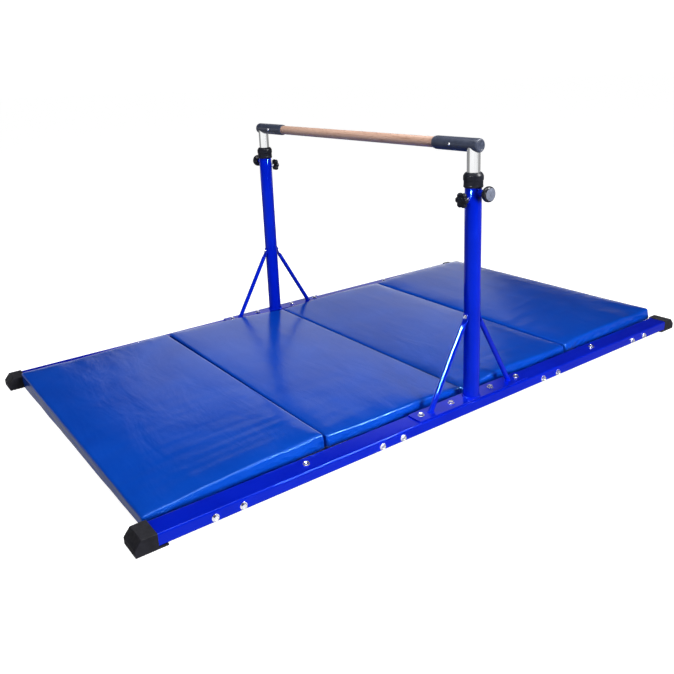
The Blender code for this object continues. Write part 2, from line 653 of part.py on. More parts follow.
bar = turned("bar", [
    (0.0, BAR_HALF_LENGTH), (BAR_R - 0.001, BAR_HALF_LENGTH), (BAR_R, BAR_HALF_LENGTH - 0.001),
    (BAR_R, 0.001 - BAR_HALF_LENGTH), (BAR_R - 0.001, -BAR_HALF_LENGTH), (0.0, -BAR_HALF_LENGTH),
])
place(bar, aim((0.0, 0.0, BAR_Z), (0.0, -1.0, 0.0)))
cut(bar, "DIFFERENCE", [drill((0.004, side * FIT_BOLT_Y, BAR_Z), (-0.06, side * FIT_BOLT_Y, BAR_Z), FIT_HOLE_R)
                        for side in (-1.0, 1.0)])
finish(bar, "wooden_bar", material("wooden_bar_wood", WOOD, 0.5, 0.0))

# ---------------------------------------------------------------- folding mat
# Seams 1 and 3 fold at the panels' lower faces and seam 2 at the upper faces, so the mat gathers
# like an accordion. Each panel is set out from the hinge line that it shares with its neighbour.
tilts = [math.radians(value) for value in PANEL_TILTS]
mid_hinge = Vector((MID_SEAM_X, 0.0, MID_SEAM_Z))


def panel(name, hinge, angle, outward, hinge_on_top):
    """One padded panel; angle lifts its far end, outward is +1 for +X and -1 for -X."""
    low = -MAT_THICKNESS if hinge_on_top else 0.0
    made = box(name, (SEAM_GAP / 2.0, -MAT_WIDTH / 2.0, low),
               (PANEL_PITCH - SEAM_GAP / 2.0, MAT_WIDTH / 2.0, low + MAT_THICKNESS), PANEL_EDGE_R, 3)
    place(made, Matrix.Rotation(-angle, 4, "Y"))
    if outward < 0.0:
        place(made, Matrix.Scale(-1.0, 4, Vector((1.0, 0.0, 0.0))))
    place(made, Matrix.Translation(hinge))
    return finish(made, name, material(name + "_vinyl", VINYL, 0.35, 0.0))


def far_hinge(hinge, angle, outward):
    """The lower hinge line at a middle panel's outer end."""
    run = PANEL_PITCH * math.cos(angle) + MAT_THICKNESS * math.sin(angle)
    rise = PANEL_PITCH * math.sin(angle) - MAT_THICKNESS * math.cos(angle)
    return hinge + Vector((outward * run, 0.0, rise))


left_hinge = far_hinge(mid_hinge, tilts[1], -1.0)
right_hinge = far_hinge(mid_hinge, tilts[2], 1.0)
panel("mat_panel_1", left_hinge, tilts[0], -1.0, False)
panel("mat_panel_2", mid_hinge, tilts[1], -1.0, True)
panel("mat_panel_3", mid_hinge, tilts[2], 1.0, True)
panel("mat_panel_4", right_hinge, tilts[3], 1.0, False)
web_half = MAT_WIDTH / 2.0 - 0.004
for name, hinge in (("fold_web_1", left_hinge), ("fold_web_2", mid_hinge), ("fold_web_3", right_hinge)):
    web = rod(name, hinge - Vector((0.0, web_half, 0.0)), hinge + Vector((0.0, web_half, 0.0)), WEB_R, 12)
    finish(web, name, material(name + "_vinyl", WEB_BLUE, 0.35, 0.0))
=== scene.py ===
"""Looks for the junior gymnastics bar: painted frame, fittings, bolts, knobs, wooden bar and folding mat."""
import math

import bmesh
import bpy
import numpy as np
from mathutils import Matrix, Vector, noise


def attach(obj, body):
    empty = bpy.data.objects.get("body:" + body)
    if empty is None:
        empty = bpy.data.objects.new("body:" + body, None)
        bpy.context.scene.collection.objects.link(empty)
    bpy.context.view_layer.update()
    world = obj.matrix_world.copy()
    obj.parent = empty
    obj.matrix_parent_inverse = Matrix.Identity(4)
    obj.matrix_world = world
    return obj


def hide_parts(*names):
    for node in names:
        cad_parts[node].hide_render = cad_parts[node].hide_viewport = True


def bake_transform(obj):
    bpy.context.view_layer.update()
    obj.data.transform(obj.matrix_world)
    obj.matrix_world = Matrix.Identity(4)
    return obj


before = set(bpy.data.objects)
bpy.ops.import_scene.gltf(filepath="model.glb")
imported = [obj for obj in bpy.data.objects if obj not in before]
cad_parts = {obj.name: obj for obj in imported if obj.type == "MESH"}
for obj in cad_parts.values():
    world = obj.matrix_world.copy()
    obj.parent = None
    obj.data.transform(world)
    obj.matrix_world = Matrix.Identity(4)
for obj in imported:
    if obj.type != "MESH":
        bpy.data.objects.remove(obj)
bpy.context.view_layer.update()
SIDES = (("near", -1.0), ("far", 1.0))
ENDS = (("left", -1.0), ("right", 1.0))

# ---- sizes shared with the CAD part
GAP = 0.0003                    # clearance between pieces that touch
RAIL_Y = 0.674
RAIL_W, RAIL_H, RAIL_WALL = 0.076, 0.038, 0.0025
RAIL_Z0 = 0.008
RAIL_X = 1.252
RAIL_TOP = RAIL_Z0 + RAIL_H
STRAPS = (-1.0, -0.402, 0.402, 1.0)
STRAP_REACH, STRAP_W, STRAP_T = 0.6357, 0.120, 0.003
SIDE_BOLT_OFFSETS = (-0.044, 0.044)
PLATE_L, PLATE_W, PLATE_T = 0.552, 0.066, 0.005
PLATE_TOP = RAIL_TOP + GAP + PLATE_T
PLATE_BOLTS = (-0.243, -0.100, 0.100, 0.243)
RAIL_BOLT_X = 0.716
POST_R, POST_WALL, POST_TOP = 0.029, 0.002, 0.840
INNER_R, INNER_WALL = 0.0225, 0.002
BAR_Z, BAR_R = 0.944, 0.019
PIN_Z, STAR_Z = 0.789, 0.768
STUD_HOLE_R = 0.0046            # the holes for the pins and the clamp screws
BAR_END = 0.596
FITTING_BOLT_Y = 0.586
BRACE_R = 0.0095
BRACE_FOOT_X = 0.1986
BRACE_BOLT_Z = 0.357
MAT_T, PITCH, MAT_W = 0.050, 0.610, 1.220


# ---- shader nodes
def plug(tree, socket, value):
    """Link a socket to another, or set a plain value on it."""
    if isinstance(value, bpy.types.NodeSocket):
        tree.links.new(value, socket)
    else:
        socket.default_value = value


def feed(tree, node, **values):
    """Set a node's properties and inputs by name, with _ for a space in an input's name."""
    for key, value in values.items():
        if hasattr(node, key):
            setattr(node, key, value)
        else:
            plug(tree, node.inputs[key.replace("_", " ")], value)
    return node


def add(tree, kind, **values):
    return feed(tree, tree.nodes.new(kind), **values)


def nodes_of(name):
    made = bpy.data.materials.new(name)
    made.use_nodes = True
    return made, made.node_tree, made.node_tree.nodes["Principled BSDF"]


def maths(tree, kind, *values):
    node = add(tree, "ShaderNodeMath", operation=kind)
    for socket, value in zip(node.inputs, values):
        plug(tree, socket, value)
    return node.outputs["Value"]


def vector_maths(tree, kind, one, two=None):
    node = add(tree, "ShaderNodeVectorMath", operation=kind)
    plug(tree, node.inputs[0], one)
    if two is not None:
        plug(tree, node.inputs[1], two)
    return node


def graded(tree, value, low, high):
    """Eased from 0 where the value is low to 1 where it is high."""
    return add(tree, "ShaderNodeMapRange", interpolation_type="SMOOTHSTEP", From_Min=low, From_Max=high,
               Value=value).outputs["Result"]


# ---- camera, light and floor
def placed(name, data):
    """A new object in the scene."""
    made = bpy.data.objects.new(name, data)
    bpy.context.scene.collection.objects.link(made)
    return made


def camera():
    """The view from the near left corner, fitted for a picture of 674 by 674."""
    image, focal, centre_x, centre_y = 674.0, 722.8, 344.4, 273.95
    cam = placed("camera", bpy.data.cameras.new("camera"))
    cam.location = (-1.7623, -2.3397, 1.1984)
    cam.rotation_euler = (1.2947, 0.0375, -0.6420)
    cam.data.sensor_width = 36.0
    cam.data.lens = focal * cam.data.sensor_width / image
    cam.data.shift_x = (image / 2.0 - centre_x) / image
    cam.data.shift_y = (centre_y - image / 2.0) / image
    cam.data.clip_start, cam.data.clip_end = 0.05, 60.0
    bpy.context.scene.camera = cam


def floor():
    """Pale paper that glows round the object, so that it looks even; its glow stops under the mat's
    footprint, a painted shadow there.
    """
    bm = bmesh.new()
    bmesh.ops.create_grid(bm, x_segments=1, y_segments=1, size=150.0)
    data = bpy.data.meshes.new("floor")
    bm.to_mesh(data)
    bm.free()
    made = placed("floor", data)
    made.location = (0.0, 0.0, -0.0002)
    made.visible_glossy = False
    made.visible_diffuse = False
    paper, tree, shader = nodes_of("floor_paper")
    axes = add(tree, "ShaderNodeSeparateXYZ", Vector=add(tree, "ShaderNodeTexCoord").outputs["Object"])
    # the glow fades to 0 inside the footprint of the mat: painted shadow on the floor under it
    glow_with_painted_shadow = [graded(tree, maths(tree, "ABSOLUTE", axes.outputs[axis]), half, half + 0.06)
            for axis, half in (("X", 1.165), ("Y", 0.645))]
    feed(tree, shader, Base_Color=(0.50, 0.50, 0.51, 1.0), Roughness=0.9, Specular_IOR_Level=0.0,
         Emission_Color=(1.0, 1.0, 1.0, 1.0), Emission_Strength=maths(tree, "MAXIMUM", *glow_with_painted_shadow))
    data.materials.append(paper)


def sky():
    """What shiny surfaces see: a pale horizon, a wall behind the bar, a glow below and a light overhead."""
    world = bpy.data.worlds.new("studio")
    world.use_nodes = True
    world.cycles_visibility.diffuse = False
    tree = world.node_tree
    where = add(tree, "ShaderNodeTexCoord").outputs["Generated"]
    height = add(tree, "ShaderNodeSeparateXYZ", Vector=where).outputs["Z"]
    level = vector_maths(tree, "MULTIPLY", where, (1.0, 1.0, 0.0)).outputs["Vector"]
    level = vector_maths(tree, "NORMALIZE", level).outputs["Vector"]

    def towards(heading):
        """The cosine of the angle to a heading, turned from +Y towards +X and seen from above."""
        direction = (math.sin(heading), math.cos(heading), 0.0)
        return vector_maths(tree, "DOT_PRODUCT", level, direction).outputs["Value"]

    def within(cosine, outer, inner):
        """1 inside the inner angle and 0 outside the outer one, in degrees."""
        return graded(tree, cosine, math.cos(math.radians(outer)), math.cos(math.radians(inner)))

    def times(one, two):
        return maths(tree, "MULTIPLY", one, two)

    def plus(one, two):
        return maths(tree, "ADD", one, two)

    behind, viewer = towards(0.562), towards(math.pi + 0.70)
    band = times(graded(tree, height, -0.06, -0.03), graded(tree, height, 0.165, 0.135))
    band = times(band, plus(0.45, times(graded(tree, behind, 0.1, 0.6), 0.62)))
    wall = times(graded(tree, height, 0.08, 0.13), graded(tree, height, 0.50, 0.44))
    wall = times(times(within(behind, 17.5, 14.5), wall), 0.68)
    below = graded(tree, height, 0.0, -0.05)
    front = times(times(within(viewer, 84.0, 66.0), below), 0.72)
    total = plus(band, times(graded(tree, height, 0.74, 0.90), 0.8))
    total = plus(plus(total, wall), plus(plus(front, times(below, 0.30)), 0.03))
    total = maths(tree, "MAXIMUM", total, add(tree, "ShaderNodeLightPath").outputs["Is Camera Ray"])
    feed(tree, tree.nodes["Background"], Color=(1.0, 1.0, 1.0, 1.0), Strength=total)
    bpy.context.scene.world = world


def lamps():
    """Area lights: a _strip only shows in reflections, and a _soft never does."""
    for name, place, target, size, power, spread_angle in (
        ("top_light", (-0.35, -0.45, 2.5), (-0.25, -0.4, 0.0), (1.8, 0.9), 42.0, 180.0),
        ("key_light", (1.3, -2.6, 2.6), (-0.2, -0.65, 0.1), (1.5, 0.25), 14.0, 180.0),
        ("edge_strip", (1.25, -2.55, 2.6), (-0.2, -0.65, 0.1), (1.4, 0.26), 330.0, 180.0),
        ("fill_soft", (-0.4, -4.6, 1.2), (0.0, -0.3, 0.4), (0.8, 1.8), 235.0, 180.0),
        ("brace_strip", (-3.5, -1.4, 2.2), (0.0, -0.7, 0.1), (0.55, 0.6), 50.0, 14.0),
        ("side_soft", (-4.0, 0.6, 1.8), (0.0, 0.0, 0.2), (1.6, 1.6), 45.0, 180.0),
        ("back_soft", (1.4, 4.4, 2.0), (0.0, 0.0, 0.3), (2.0, 1.6), 70.0, 180.0),
    ):
        lamp = bpy.data.lights.new(name, "AREA")
        lamp.shape = "RECTANGLE"
        lamp.size, lamp.size_y = size
        lamp.energy = power
        lamp.spread = math.radians(spread_angle)
        holder = placed(name, lamp)
        holder.visible_diffuse = not name.endswith("_strip")
        holder.visible_glossy = not name.endswith("_soft")
        holder.location = place
        holder.rotation_euler = (Vector(target) - Vector(place)).to_track_quat("-Z", "Y").to_euler()


camera()
floor()
sky()
lamps()
bpy.context.scene.view_settings.view_transform = "Standard"


# ---- mesh helpers
def applied(made):
    """Replace an object's mesh by what its modifiers make of it."""
    depsgraph = bpy.context.evaluated_depsgraph_get()
    depsgraph.update()
    data = bpy.data.meshes.new_from_object(made.evaluated_get(depsgraph))
    made.modifiers.clear()
    made.data = data
    return made


def shade(data, sharp=35.0):
    """Smooth shading with the hard edges kept sharp."""
    data.shade_smooth()
    data.set_sharp_from_angle(angle=math.radians(sharp))


def to_object(name, bm, sharp=35.0, weighted=True):
    """A smooth-shaded object from a bmesh, with its hard edges kept sharp and its broad faces flat."""
    bmesh.ops.recalc_face_normals(bm, faces=bm.faces)
    data = bpy.data.meshes.new(name)
    bm.to_mesh(data)
    bm.free()
    shade(data, sharp)
    made = placed(name, data)
    if not weighted:
        return made
    made.modifiers.new("weighted", "WEIGHTED_NORMAL").keep_sharp = True
    return applied(made)


def aim(point, direction, up="Y"):
    """The matrix that takes local Z to a direction, at a point."""
    turn = Vector(direction).to_track_quat("Z", up).to_matrix().to_4x4()
    return Matrix.Translation(Vector(point)) @ turn


def loft(bm, loops, close=False, cap=True, matrix=None):
    """Quads between successive loops of equal length; close joins the last loop to the first."""
    matrix = matrix or Matrix.Identity(4)
    rings = [[bm.verts.new(matrix @ Vector(p)) for p in loop] for loop in loops]
    count = len(rings[0])
    pairs = list(zip(rings[:-1], rings[1:]))
    if close:
        pairs.append((rings[-1], rings[0]))
    for low, high in pairs:
        for i in range(count):
            j = (i + 1) % count
            bm.faces.new((low[i], low[j], high[j], high[i]))
    if cap and not close:
        bm.faces.new(rings[0])
        bm.faces.new(rings[-1])
    return rings


def circle(radius, height, steps, wobble=None):
    """A loop of points round local Z; wobble adds to the radius by the angle."""
    points = []
    for i in range(steps):
        angle = 2.0 * math.pi * i / steps
        r = radius if wobble is None else radius + wobble(angle)
        points.append((r * math.cos(angle), r * math.sin(angle), height))
    return points


def lathe(bm, profile, steps=64, matrix=None, closed=False, wobble=None):
    """A turned shape from (radius, height) points; closed makes a ring of it."""
    loops = [circle(max(r, 0.00002), h, steps, wobble) for r, h in profile]
    loft(bm, loops, close=closed, matrix=matrix)


def bent(start, corner, end, t):
    """A point on the curve from start to end that is drawn towards the corner."""
    return start * (1 - t) ** 2 + corner * 2 * t * (1 - t) + end * t * t


def rounded(profile, radius, segments=4):
    """Round the corners of an open profile of (r, h) points."""
    points = [Vector((p[0], p[1])) for p in profile]
    out = [points[0]]
    for before, here, after in zip(points[:-2], points[1:-1], points[2:]):
        a, b = before - here, after - here
        reach = min(radius, a.length * 0.48, b.length * 0.48)
        if reach < 1e-6 or abs(a.normalized().dot(b.normalized())) > 0.999:
            out.append(here)
            continue
        start, end = here + a.normalized() * reach, here + b.normalized() * reach
        out += [bent(start, here, end, k / segments) for k in range(segments + 1)]
    out.append(points[-1])
    return [(p.x, p.y) for p in out]


def above(base, *points):
    """Profile points given as (radius, height above the base)."""
    return [(r, base + h) for r, h in points]


def rounded_rect(width, height, radius, segments=6):
    """The outline of a rounded rectangle in the local XY plane."""
    points = []
    for cx, cy, start in ((1, 1, 0.0), (-1, 1, 0.5), (-1, -1, 1.0), (1, -1, 1.5)):
        for k in range(segments + 1):
            angle = math.pi * (start + 0.5 * k / segments)
            points.append((cx * (width / 2 - radius) + radius * math.cos(angle),
                           cy * (height / 2 - radius) + radius * math.sin(angle)))
    return points


def block(bm, low, high, bevel=0.0008, segments=2):
    """A box with rounded edges added to a bmesh."""
    part = bmesh.new()
    bmesh.ops.create_cube(part, size=1.0)
    size, centre = Vector(high) - Vector(low), (Vector(high) + Vector(low)) / 2
    bmesh.ops.scale(part, vec=size, verts=part.verts)
    bmesh.ops.translate(part, vec=centre, verts=part.verts)
    bmesh.ops.bevel(part, geom=part.edges[:], offset=bevel, segments=segments, profile=0.5, affect="EDGES")
    scrap = bpy.data.meshes.new("scrap")
    part.to_mesh(scrap)
    part.free()
    bm.from_mesh(scrap)
    bpy.data.meshes.remove(scrap)


HEX_FLAT = 0.0070               # half the width across a bolt head's flats


def hexagon(angle, half):
    """The radius of a hexagon at an angle, from half its width across flats."""
    return half / math.cos((angle + math.pi / 6.0) % (math.pi / 3.0) - math.pi / 6.0)


def hex_bolt(bm, point, direction, shank, turn=0.0, head_height=0.0058, size=1.10):
    """A chamfered hexagon head with a forging dish, its washer and its shank."""
    matrix = aim(point, direction) @ Matrix.Rotation(turn, 4, "Z") @ Matrix.Diagonal((size, size, 1.0, 1.0))
    lathe(bm, rounded([(0.0, 0.0016), (0.0102, 0.0016), (0.0105, 0.0012), (0.0105, 0.0), (0.0040, 0.0),
                       (0.0040, -shank + 0.0008), (0.0033, -shank), (0.0, -shank)], 0.0003, 2), 40, matrix)
    steps = 48

    def loop(height, scale=1.0, chamfer=0.0, limit=math.inf):
        points = []
        for i in range(steps):
            angle = 2.0 * math.pi * i / steps
            full = hexagon(angle, HEX_FLAT) * scale
            r, z = min(full, limit), height - (full - HEX_FLAT * 0.96) * chamfer
            points.append((r * math.cos(angle), r * math.sin(angle), z))
        return points

    top = 0.0016 + head_height
    loops = [loop(0.0014), loop(top, chamfer=0.55), loop(top - 0.0001, 0.97, limit=HEX_FLAT * 0.94)]
    for share, drop in ((0.90, 0.0), (0.62, 0.0001), (0.55, 0.0007), (0.05, 0.0008)):
        loops.append(circle(HEX_FLAT * share, top - drop, steps))
    loft(bm, loops, matrix=matrix)


def weld_bead(bm, path, bead=0.0028, pitch=0.0035):
    """A rippled weld bead of round section along a closed path of points."""
    points = [Vector(p) for p in path]
    loops = []
    run = 0.0
    for i, point in enumerate(points):
        ahead, behind = points[(i + 1) % len(points)], points[i - 1]
        along = (ahead - behind).normalized()
        side = along.cross(Vector((0, 0, 1))).normalized()
        up = side.cross(along).normalized()
        run += (point - behind).length
        ripple = 0.16 * math.sin(2.0 * math.pi * run / pitch)
        swell = bead * (1.0 + ripple + 0.08 * noise.noise(point * 180.0))
        loops.append([point + side * swell * math.cos(a) + up * swell * math.sin(a)
                      for a in (2.0 * math.pi * k / 10 for k in range(10))])
    loft(bm, loops, close=True)


# ---- materials
def coords(tree, scale=(1.0, 1.0, 1.0), turn=(0.0, 0.0, 0.0)):
    where = add(tree, "ShaderNodeTexCoord").outputs["Object"]
    return add(tree, "ShaderNodeMapping", Vector=where, Scale=scale, Rotation=turn).outputs["Vector"]


def noisy(tree, vector, scale, detail=4.0, rough=0.5, distortion=0.0):
    return add(tree, "ShaderNodeTexNoise", Vector=vector, Scale=scale, Detail=detail, Roughness=rough,
               Distortion=distortion).outputs["Fac"]


def ramp(tree, factor, stops):
    node = add(tree, "ShaderNodeValToRGB", Fac=factor)
    while len(node.color_ramp.elements) < len(stops):
        node.color_ramp.elements.new(0.5)
    for element, (position, colour) in zip(node.color_ramp.elements, stops):
        element.position = position
        element.color = colour
    return node.outputs["Color"]


def spread(tree, factor, low, high, start=0.3, end=0.7):
    return add(tree, "ShaderNodeMapRange", Value=factor, From_Min=start, From_Max=end, To_Min=low,
               To_Max=high).outputs["Result"]


def mixed(tree, factor, one, two, blend_type="MIX"):
    """Two colours mixed by a factor; the colour sockets of a Mix node go by number."""
    node = add(tree, "ShaderNodeMix", data_type="RGBA", blend_type=blend_type, Factor=factor)
    plug(tree, node.inputs[6], one)
    plug(tree, node.inputs[7], two)
    return node.outputs[2]


def bump(tree, shader, heights):
    """Chain bumps of (height socket, strength, distance) into the shader's normal."""
    last = None
    for height, strength, distance in heights:
        node = add(tree, "ShaderNodeBump", Height=height, Strength=strength, Distance=distance)
        if last is not None:
            feed(tree, node, Normal=last)
        last = node.outputs["Normal"]
    feed(tree, shader, Normal=last)


def blue_paint(name="frame_paint"):
    """Glossy blue powder coat with orange peel and faint dust."""
    made, tree, shader = nodes_of(name)
    vector = coords(tree)
    colour = ramp(tree, noisy(tree, vector, 9.0, 3.0), [(0.30, (0.0004, 0.010, 0.430, 1)),
                                                        (0.70, (0.0008, 0.013, 0.500, 1))])
    feed(tree, shader, Base_Color=colour, Roughness=spread(tree, noisy(tree, vector, 30.0), 0.06, 0.11),
         Specular_Tint=(0.05, 0.18, 1.0, 1.0))
    bump(tree, shader, [(noisy(tree, vector, 260.0, 2.0), 0.02, 0.0002),
                        (noisy(tree, vector, 28.0, 2.0), 0.03, 0.0005)])
    return made


def metal(name, colour, rough, grain, axis_scale=(1.0, 1.0, 1.0), strength=0.08):
    """Plated or drawn metal with fine streaks and varied polish."""
    made, tree, shader = nodes_of(name)
    vector = coords(tree, axis_scale)
    fine = noisy(tree, vector, grain, 5.0)
    dark = tuple(c * 0.86 for c in colour[:3]) + (1.0,)
    clouds = ramp(tree, noisy(tree, vector, grain * 0.2, 3.0), [(0.3, dark), (0.7, colour)])
    feed(tree, shader, Base_Color=clouds, Roughness=spread(tree, fine, *rough), Metallic=1.0)
    bump(tree, shader, [(fine, strength, 0.0003)])
    return made


def moulded(name, dark, light, rough, grain, strength, worn=0.0, shine=0.5):
    """Moulded plastic or rubber with a fine grain and, where worn, paler edges."""
    made, tree, shader = nodes_of(name)
    vector = coords(tree)
    base = ramp(tree, noisy(tree, vector, 45.0, 5.0), [(0.32, dark), (0.72, light)])
    if worn > 0.0:
        edge = add(tree, "ShaderNodeNewGeometry").outputs["Pointiness"]
        pale = tuple(min(1.0, c * 2.6 + 0.02) for c in light[:3]) + (1.0,)
        base = mixed(tree, spread(tree, edge, 0.0, worn, 0.52, 0.60), base, pale)
    feed(tree, shader, Base_Color=base, Roughness=spread(tree, noisy(tree, vector, 80.0), *rough),
         Specular_IOR_Level=shine)
    bump(tree, shader, [(noisy(tree, vector, grain, 3.0), strength, 0.0004)])
    return made


def beech(name="bar_wood"):
    """Pale beech with long grain, short darker flecks and a satin lacquer."""
    made, tree, shader = nodes_of(name)
    streaks = noisy(tree, coords(tree, (90.0, 2.2, 90.0)), 1.0, 6.0, 0.6, 0.4)
    bands = noisy(tree, coords(tree, (22.0, 0.9, 22.0)), 1.0, 3.0, 0.5, 0.8)
    flecks = noisy(tree, coords(tree, (420.0, 34.0, 420.0)), 1.0, 2.0)
    base = ramp(tree, streaks, [(0.28, (0.380, 0.215, 0.150, 1)), (0.48, (0.590, 0.385, 0.295, 1)),
                                (0.72, (0.680, 0.480, 0.385, 1))])
    tint = ramp(tree, bands, [(0.3, (0.86, 0.80, 0.76, 1)), (0.7, (1.0, 1.0, 1.0, 1))])
    spots = ramp(tree, flecks, [(0.30, (0.62, 0.50, 0.44, 1)), (0.42, (1.0, 1.0, 1.0, 1))])
    for layer in (tint, spots):
        base = mixed(tree, 0.85, base, layer, "MULTIPLY")
    feed(tree, shader, Base_Color=base, Roughness=spread(tree, streaks, 0.38, 0.55), Coat_Weight=0.15,
         Coat_Roughness=0.30)
    bump(tree, shader, [(streaks, 0.25, 0.0004), (flecks, 0.15, 0.0002)])
    return made


def vinyl(name, dark, light):
    """Coated vinyl: fine leather grain, soft creases and a slightly varied gloss."""
    made, tree, shader = nodes_of(name)
    vector = coords(tree)
    colour = ramp(tree, noisy(tree, vector, 3.5, 4.0, 0.55, 0.6), [(0.32, dark), (0.70, light)])
    cells = add(tree, "ShaderNodeTexVoronoi", feature="DISTANCE_TO_EDGE", Vector=vector, Scale=620.0)
    creases = noisy(tree, coords(tree, (5.0, 1.6, 5.0), (0.0, 0.0, 0.6)), 2.2, 5.0, 0.55, 0.5)
    feed(tree, shader, Base_Color=colour, Roughness=spread(tree, noisy(tree, vector, 11.0, 6.0), 0.13, 0.21),
         Specular_Tint=(0.15, 0.45, 1.0, 1.0))
    bump(tree, shader, [(spread(tree, cells.outputs["Distance"], 0.0, 1.0, 0.0, 0.12), 0.10, 0.0002),
                        (noisy(tree, vector, 1500.0, 2.0), 0.10, 0.0001), (creases, 0.50, 0.0045)])
    return made


# each look is a material and the record's slot that it stands for
BLACKISH = (0.006, 0.007, 0.012, 1), (0.014, 0.015, 0.022, 1)
PAINT = blue_paint(), "frame_coat"
ZINC = metal("zinc_plate", (0.93, 0.94, 0.97, 1.0), (0.11, 0.17), 300.0), "zinc"
CHROME = metal("bright_tube", (0.92, 0.93, 0.94, 1.0), (0.06, 0.11), 60.0, (9.0, 9.0, 0.6), 0.006), "chrome"
RUBBER = moulded("cap_rubber", (0.007, 0.007, 0.010, 1), (0.015, 0.015, 0.021, 1), (0.50, 0.68), 700.0, 0.25,
                 worn=0.25, shine=0.15), "black_rubber"
BLACK = moulded("collar_plastic", *BLACKISH, (0.28, 0.40), 900.0, 0.10, worn=0.20,
                shine=0.10), "black_plastic"
KNOB = moulded("knob_plastic", *BLACKISH, (0.16, 0.26), 900.0, 0.05, worn=0.15, shine=0.25), "knob_plastic"
GREY = moulded("fitting_plastic", (0.034, 0.042, 0.070, 1), (0.052, 0.062, 0.098, 1), (0.30, 0.42), 1100.0,
               0.16, worn=0.20, shine=0.30), "grey_plastic"
FACE = moulded("knob_face", (0.110, 0.125, 0.175, 1), (0.190, 0.210, 0.280, 1), (0.22, 0.34), 700.0,
               0.20), "grey_plastic"
WOOD = beech(), "wood"
VINYL = vinyl("mat_vinyl", (0.001, 0.048, 0.400, 1), (0.002, 0.062, 0.475, 1)), "vinyl"
WEB = vinyl("web_vinyl", (0.003, 0.028, 0.200, 1), (0.005, 0.040, 0.260, 1)), "web_vinyl"


def settle(made, look, body, node=None):
    """Give a piece its look and body, and let it stand for a CAD node."""
    material, slot = look
    made.data.materials.clear()
    made.data.materials.append(material)
    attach(made, body)
    if node:
        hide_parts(node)


def piece(node, suffix, bm, look, body, sharp=35.0):
    """A finished piece that stands for a CAD node, named for it with a suffix."""
    settle(to_object(node + suffix, bm, sharp), look, body, node)


# ---- cutting
def cut(made, tool, use_self=False):
    """Cut the shape of a bmesh out of a piece."""
    cutter = to_object("cutter", tool)
    step = made.modifiers.new("cut", "BOOLEAN")
    step.operation, step.solver, step.object = "DIFFERENCE", "EXACT", cutter
    step.use_self = use_self
    applied(made)
    bpy.data.objects.remove(cutter, do_unlink=True)


def bored(made, drills, steps=32):
    """Cut round holes of (start, end, radius) through a piece."""
    for start, end, radius in drills:
        start, end = Vector(start), Vector(end)
        tool = bmesh.new()
        lathe(tool, [(radius, 0.0), (radius, (end - start).length)], steps, aim(start, end - start))
        cut(made, tool)
    shade(made.data)


# ---- rails, caps and straps
def normal_at(points, i):
    """The normal of an open path of flat points at one of them."""
    along = (Vector(points[min(i + 1, len(points) - 1)]) - Vector(points[max(i - 1, 0)])).normalized()
    return Vector((-along.y, along.x))


def rail(side_name, side):
    """A rectangular tube with rounded corners, open at its ends."""
    bm = bmesh.new()
    outer = rounded_rect(RAIL_W, RAIL_H, 0.005, 8)
    inner = rounded_rect(RAIL_W - 2 * RAIL_WALL, RAIL_H - 2 * RAIL_WALL, 0.0028, 8)
    centre = Vector((0.0, side * RAIL_Y, RAIL_Z0 + RAIL_H / 2))

    def section(outline, x):
        return [centre + Vector((x, p[0], p[1])) for p in outline]

    lip = 0.0006
    edge = rounded_rect(RAIL_W - 2 * lip, RAIL_H - 2 * lip, 0.0046, 8)
    loops = [section(inner, -RAIL_X), section(edge, -RAIL_X), section(outer, -RAIL_X + lip)]
    loops += [section(outer, x) for x in np.linspace(-1.2, 1.2, 25)]
    loops += [section(outer, RAIL_X - lip), section(edge, RAIL_X), section(inner, RAIL_X)]
    loft(bm, loops, close=True)
    piece("rail_" + side_name, "_tube", bm, PAINT, "frame")


def cap(side_name, side, end_name, end):
    """A moulded end cap: chamfered nose, lip round the rail, foot with grip ribs."""
    outline = [(1.183, 0.0024), (1.274, 0.0024), (1.276, 0.0044), (1.276, 0.0255),
               (1.256, 0.0495), (1.2105, 0.0495), (1.2105, 0.0077), (1.183, 0.0077)]
    bm = bmesh.new()
    loft(bm, [[(x, y, z) for x, z in outline] for y in (-0.041, 0.041)])
    bmesh.ops.recalc_face_normals(bm, faces=bm.faces)
    bmesh.ops.bevel(bm, geom=bm.edges[:], offset=0.0026, segments=4, profile=0.5, affect="EDGES",
                    clamp_overlap=True)
    made = to_object("cap_%s_%s_rubber" % (side_name, end_name), bm, 40.0)
    pocket = bmesh.new()
    core_w, core_h = RAIL_W - 2 * RAIL_WALL - 0.004, RAIL_H - 2 * RAIL_WALL - 0.004
    z = RAIL_Z0 + RAIL_H / 2
    for width, height, radius, low, high in ((RAIL_W + 2 * GAP, RAIL_H + 2 * GAP, 0.0053, 1.195, 1.2528),
                                             (core_w, core_h, 0.003, 1.25, 1.262)):
        shape = rounded_rect(width, height, radius)
        loft(pocket, [[(x, p[0], z + p[1]) for p in shape] for x in (low, high)])
    cut(made, pocket, use_self=True)
    bm = bmesh.new()
    bm.from_mesh(made.data)
    for k in range(7):
        x = 1.190 + 0.0125 * k
        block(bm, (x, -0.037, 0.0), (x + 0.0075, 0.037, 0.0032), 0.0007, 2)
    for k in range(-3, 4):
        block(bm, (1.2752, k * 0.010 - 0.0012, 0.006), (1.2760, k * 0.010 + 0.0012, 0.0225), 0.0003, 1)
    bm.transform(Matrix.Translation((0.0, side * RAIL_Y, 0.0)) @ Matrix.Diagonal((end, 1.0, 1.0, 1.0)))
    if end < 0.0:
        bmesh.ops.reverse_faces(bm, faces=bm.faces)
    bm.to_mesh(made.data)
    bm.free()
    shade(made.data, 40.0)
    settle(made, RUBBER, "frame", "cap_%s_%s" % (side_name, end_name))


